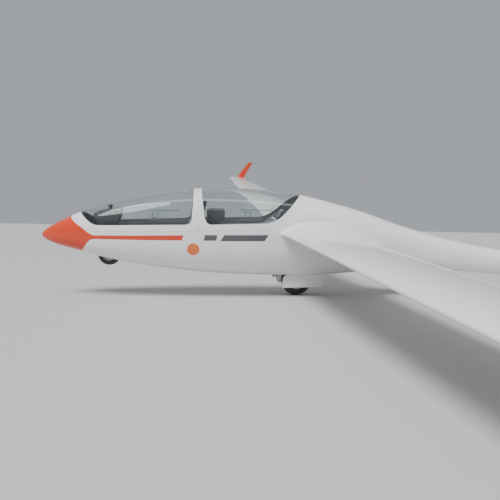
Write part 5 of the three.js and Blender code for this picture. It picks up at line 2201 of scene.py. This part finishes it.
# %% [markdown]
# ## Instrument pods and compass
#
# The instruments sit in a free-standing pod between the pilot's legs: a black moulding with a
# flat face. A dial is a ring, a black disc, white marks and a pointer. The marks are real little
# bars, laid out by angle, so that they stay crisp from any distance.

# %% Pods
POD_FRONT = [(592, 972, 8), (612, 1000, 12), (742, 1032, 20), (905, 1040, 10)]
POD_FRONT += [(884, 930), (850, 862), (640, 862)]
POD_REAR = [(1888, 1040, 12), (1940, 1056, 12), (2096, 1056, 8), (2092, 950), (2030, 880), (1900, 880)]
# The upper and the lower face of each pod, from top to foot
POD_FACES = {
    "front": [((905, 1040), (884, 930)), ((884, 930), (850, 862))],
    "rear": [((2096, 1056), (2092, 950)), ((2092, 950), (2030, 880))],
}
POD_HALF = 125
FACE_HALF = 114
FACE_SUNK = 2
for end, outline in (("front", POD_FRONT), ("rear", POD_REAR)):
    pod = softened(slab(outline, -POD_HALF, POD_HALF), 9, 4, 50)
    for top, low in POD_FACES[end]:
        way, out = ways(top, low)
        a, b = top + way * 11 + out * 20, low - way * 5 + out * 20
        inwards = out * (20 + FACE_SUNK)
        pod = cut(pod, slab([a, b, b - inwards, a - inwards], -FACE_HALF, FACE_HALF))
    dress(pod, f"instrument_pod_{end}_shell", PANEL_BLACK, [f"instrument_pod_{end}"])


# %% Dials
def on_face(end, number, share, y, deep):
    """A frame on a pod's face: X to the right, Y up the face and Z out of it."""
    top, low = (np.array(point, float) for point in POD_FACES[end][number])
    out = ways(top, low)[1]
    x, z = top + (low - top) * share - out * deep
    outwards = Vector((out[0], 0, out[1])).normalized()
    right = Vector((0, 1, 0))
    turn = Matrix((right, outwards.cross(right), outwards)).transposed().to_4x4()
    return Matrix.Translation((x, y, z)) @ turn


def turned_up(profile, sides=64):
    """A turned body that faces +Z."""
    return moved(lathe(profile, sides=sides), LIE_FLAT.inverted())


TICKS = 12


def dial(radius, needle):
    """Bezel, face and white marks, drawn about the origin, facing +Z."""
    r = radius
    bezel = turned_up([(r - 4, -1), (r, -1), (r + 2, 1), (r + 1, 4.5), (r - 2, 5), (r - 4, 3)])
    face = rod((0, 0, -1), (0, 0, 0.8), r - 3.6, sides=64)
    marks = []
    for k in range(TICKS):
        long = 0.2 if k % 3 == 0 else 0.11
        bar = block(r * (0.86 - long) - 0.5, r * 0.86 - 0.5, -0.7, 0.7, 0.7, 1.3)
        marks.append(moved(bar, Matrix.Rotation(math.radians(225 - 270 * k / (TICKS - 1)), 4, "Z")))
    hand = slab([(-r * 0.16, -1.6), (r * 0.62, -0.5), (r * 0.62, 0.5), (-r * 0.16, 1.6)], 1.6, 2.2, "z")
    hand = moved(hand, Matrix.Rotation(math.radians(needle), 4, "Z"))
    cap = rod((0, 0, 0.7), (0, 0, 3), 2.8, sides=20)
    return bezel, face, many(many(*marks), join(hand, cap))


# Columns: face, share of it from the top, Y, radius, angle of the pointer
DIALS = {
    "front": [
        (0, 0.5, -78, 31, 140),
        (0, 0.5, 0, 39, 200),
        (0, 0.5, 78, 31, 95),
        (1, 0.52, -84, 22, 30),
        (1, 0.52, 84, 22, 160),
    ],
    "rear": [
        (0, 0.5, -78, 31, 150),
        (0, 0.5, 0, 39, 190),
        (0, 0.5, 78, 31, 100),
        (1, 0.5, -80, 22, 60),
    ],
}
for end, rows in DIALS.items():
    parts = []
    for number, share, y, radius, needle in rows:
        place = on_face(end, number, share, y, 1.5)
        parts.append([moved(body, place) for body in dial(radius, needle)])
    colours = (FRAME_SHADE_AND_BEZEL_GREY, DIAL_BLACK, MARK_WHITE)
    for kind, bodies, colour in zip(("bezels", "faces", "marks"), zip(*parts), colours):
        dress(many(*bodies), f"dials_{end}_{kind}", colour)

# %% Radios
for end in ("front", "rear"):
    place = on_face(end, 1, 0.52, 0, 2)
    radio = cut(softened(block(-46, 46, -15, 15, -1, 7), 2), block(-22, 22, -8, 9, 6, 12))
    for x in (-34, 34):
        knob = turned_up([(1, 6), (8, 6), (8, 15), (6, 17), (1, 17)], 40)
        radio = join(radio, moved(knob, Matrix.Translation((x, 0, 0))))
    dress(moved(radio, place), f"radio_{end}_case", GRIP_BLACK)
    screen = softened(moved(block(-21, 21, -7, 8, 5.2, 6.4), place), 0.4, 1)
    dress(screen, f"radio_{end}_screen", SCREEN)

# %% Pedestals and compass
front_stand = softened(block(680, 820, -60, 60, NOSE_BOX_DECK, 861.7), 6)
rear_stand = trimmed(softened(block(1906, 2010, -55, 55, 200, 879.7), 6))
dress(front_stand, "pedestal_front_column", PANEL_BLACK, ["pedestal_front"])
dress(rear_stand, "pedestal_rear_column", PANEL_BLACK, ["pedestal_rear"])
COMPASS_RADIUS = 27
compass_profile = [(0.6, COMPASS_RADIUS)]
compass_profile += on_circle(0, 0, COMPASS_RADIUS, np.linspace(1.45, 0.12, 16))
compass_profile += [(28.5, 2.4), (28.5, -2.4)]
compass_profile += on_circle(0, 0, COMPASS_RADIUS, np.linspace(-0.12, -1.0, 10))
compass_profile += [(16, -24), (15, -34), (19, -40), (23, -43.5), (0.6, -43.5)]
compass = cut(upright_lathe(compass_profile, 768, 0, 1066, 72), slab(POD_FRONT, -POD_HALF, POD_HALF))
dress(compass, "compass_ball", GRIP_BLACK, ["compass"])

# %% [markdown]
# ## Sliding windows, latches and sealing strips
#
# Each canopy has a small sliding window for fresh air, on the pilots' left. It runs between two thin
# dark rails, and has a square scoop that turns out into the wind. They are cut from a thin
# layer that lies just inside the canopy, so they follow its curve exactly. A rubber strip seals the
# rim of each canopy.


# %% Sliding windows that follow the canopy's inner surface
def layer(near, deep, outline):
    """A layer between two depths under the canopy's surface, within an outline on the left."""
    body = common(canopy_hull(near), slab(outline, -600, 0, steps=6))
    return cut(body, canopy_hull(deep, -10))


RAIL_DEPTHS, PANE_DEPTHS, SCOOP_DEPTHS = (4.2, 9.5), (4.9, 7.6), (7.8, 12)


def rail(x0, x1, z):
    return layer(*RAIL_DEPTHS, [(x0, z), (x1, z + 4), (x1, z + 11), (x0, z + 7)])


def square(x0, x1, z0, z1, radius):
    return [(x0, z0, radius), (x1, z0, radius), (x1, z1, radius), (x0, z1, radius)]


# Columns: rails from and to, pane from and to, scoop from and to, upper rail, lower rail
WINDOW_SETS = {
    "front": (1215, 1565, 1245, 1440, 1266, 1336, 1050, 946),
    "rear": (2255, 2635, 2280, 2500, 2306, 2376, 1080, 976),
}
for end, (x0, x1, p0, p1, s0, s1, top, low) in WINDOW_SETS.items():
    canopy, window = f"canopy_{end}", f"window_{end}"
    dress(many(rail(x0, x1, top), rail(x0, x1, low)), f"{window}_rails", RAIL_DARK, rides_on=canopy)
    pane = [(p0, low + 4, 12), (p1, low + 6, 12), (p1, top + 5, 12), (p0, top + 3, 12)]
    panel = layer(*PANE_DEPTHS, pane)
    clear = dress(panel, f"{window}_slider", ACRYLIC, rides_on=canopy)
    clear.visible_shadow = False
    foot, head = low + 22, low + 88
    ring = layer(*SCOOP_DEPTHS, square(s0, s1, foot, head, 8))
    ring = cut(ring, slab(square(s0 + 7, s1 - 7, foot + 7, head - 7, 5), -600, 600))
    dress(ring, f"{window}_scoop", RAIL_DARK, rides_on=canopy)

# %% Latches and rim seals
for end, x, z in (("front", 1630, 858), ("rear", 1905, 872)):
    y = wall_y(x, z, 21)
    base = softened(block(x - 34, x + 34, y - 7, y + 3, z - 13, z + 13), 3)
    arm = [(x - 20, y + 2, z), (x - 16, y + 15, z), (x + 6, y + 21, z + 4), (x + 30, y + 22, z + 20)]
    dress(base, f"canopy_{end}_latch_plate", STEEL, rides_on=f"canopy_{end}")
    handle = tube(arm, [6, 7, 6.5, 6])
    dress(handle, f"canopy_{end}_latch_handle", RED_PLASTIC, rides_on=f"canopy_{end}")

for end in ("front", "rear"):
    start_x, end_x = canopy_ends(end, 8)
    band = cut(canopy_room(4.5, start_x, end_x), canopy_room(13, start_x - 50, end_x + 50))
    seal = common(canopy_hull(FRAME_THICKNESS + 0.2, 0, 84), band)
    seal = cut(seal, canopy_hull(FRAME_THICKNESS + 5, -10, 84))
    dress(seal, f"canopy_{end}_seal", GRIP_BLACK, rides_on=f"canopy_{end}", slot="tyre_rubber")

# %% [markdown]
# ## Camera, floor and light
#
# The camera stands where the photographer stood: a little ahead of the wing, at the height of the
# canopy rail, quite close, so that the left wing sweeps out of the picture. The floor is pale and
# plain. A very wide sun gives the soft shadows of a cloudy noon, and one long lamp above the cockpit
# draws a quiet highlight along the skin.

# %% The camera
# Place in metres of the drawing, angles in radians, focal length in pixels of the picture
CAMERA_PLACE = (1.66431, -5.74621, 0.90775)
CAMERA_YAW = 0.13321
CAMERA_PITCH = -0.06052
CAMERA_ROLL = 0.02177
FOCAL_PIXELS = 466.74
PICTURE_PIXELS = 500
SENSOR = 36.0

flat_way = (math.sin(CAMERA_YAW), math.cos(CAMERA_YAW), 0)
forward = np.array(flat_way) * math.cos(CAMERA_PITCH) + (0, 0, math.sin(CAMERA_PITCH))
level = np.array([math.cos(CAMERA_YAW), -math.sin(CAMERA_YAW), 0])
over = np.cross(level, forward)
right = level * math.cos(CAMERA_ROLL) + over * math.sin(CAMERA_ROLL)
up = over * math.cos(CAMERA_ROLL) - level * math.sin(CAMERA_ROLL)
half_turn = np.diag([-1, -1, 1])
camera_data = bpy.data.cameras.new("camera")
camera_data.sensor_width = SENSOR
camera_data.lens = FOCAL_PIXELS / PICTURE_PIXELS * SENSOR
camera_data.clip_end = 200
camera = added("camera", camera_data)
camera_matrix = np.eye(4)
camera_matrix[:3, :3] = np.stack([half_turn @ right, half_turn @ up, half_turn @ -forward], 1)
camera_matrix[:3, 3] = half_turn @ np.array(CAMERA_PLACE) + SHIFT
camera.matrix_world = Matrix(camera_matrix)
bpy.context.scene.camera = camera
print("camera at", [round(v, 2) for v in camera_matrix[:3, 3]], "lens", round(camera_data.lens, 1), "mm")

# %% Pale floor
FLOOR_REACH = 60
corners = [(x * FLOOR_REACH, y * FLOOR_REACH, 0) for x, y in ((-1, -1), (1, -1), (1, 1), (-1, 1))]
floor_mesh = bpy.data.meshes.new("floor")
floor_mesh.from_pydata(corners, [], [(0, 1, 2, 3)])
floor_mesh.materials.append(finish("pale_floor", (0.56, 0.557, 0.55), 0.7)[0])
floor = added("floor", floor_mesh)
print("floor", 2 * FLOOR_REACH, "m wide")


# %% Sun, long lamp and sky
def light(name, kind, energy, aim):
    data = bpy.data.lights.new(name, kind)
    data.energy = energy
    made = added(name, data)
    made.rotation_euler = Vector(aim).to_track_quat("-Z", "Y").to_euler()
    return made


sun = light("soft_key", "SUN", 3.8, (-0.5, -0.6, -1))
sun.data.angle = math.radians(24)
sun.visible_glossy = False

LAMP_PLACE = Vector((2, 3.5, 8.5))
lamp = light("long_lamp", "AREA", 110, Vector((1.5, 0, 0.8)) - LAMP_PLACE)
lamp.location = LAMP_PLACE
lamp.data.shape = "RECTANGLE"
lamp.data.size = 12
lamp.data.size_y = 1.2

world = bpy.data.worlds.new("studio")
world.use_nodes = True
sky = world.node_tree.nodes["Background"].inputs
sky["Color"].default_value = (0.8, 0.84, 0.9, 1)
sky["Strength"].default_value = 0.5
bpy.context.scene.world = world
print("sun", round(sun.data.energy, 1), "lamp", round(lamp.data.energy), "watts")
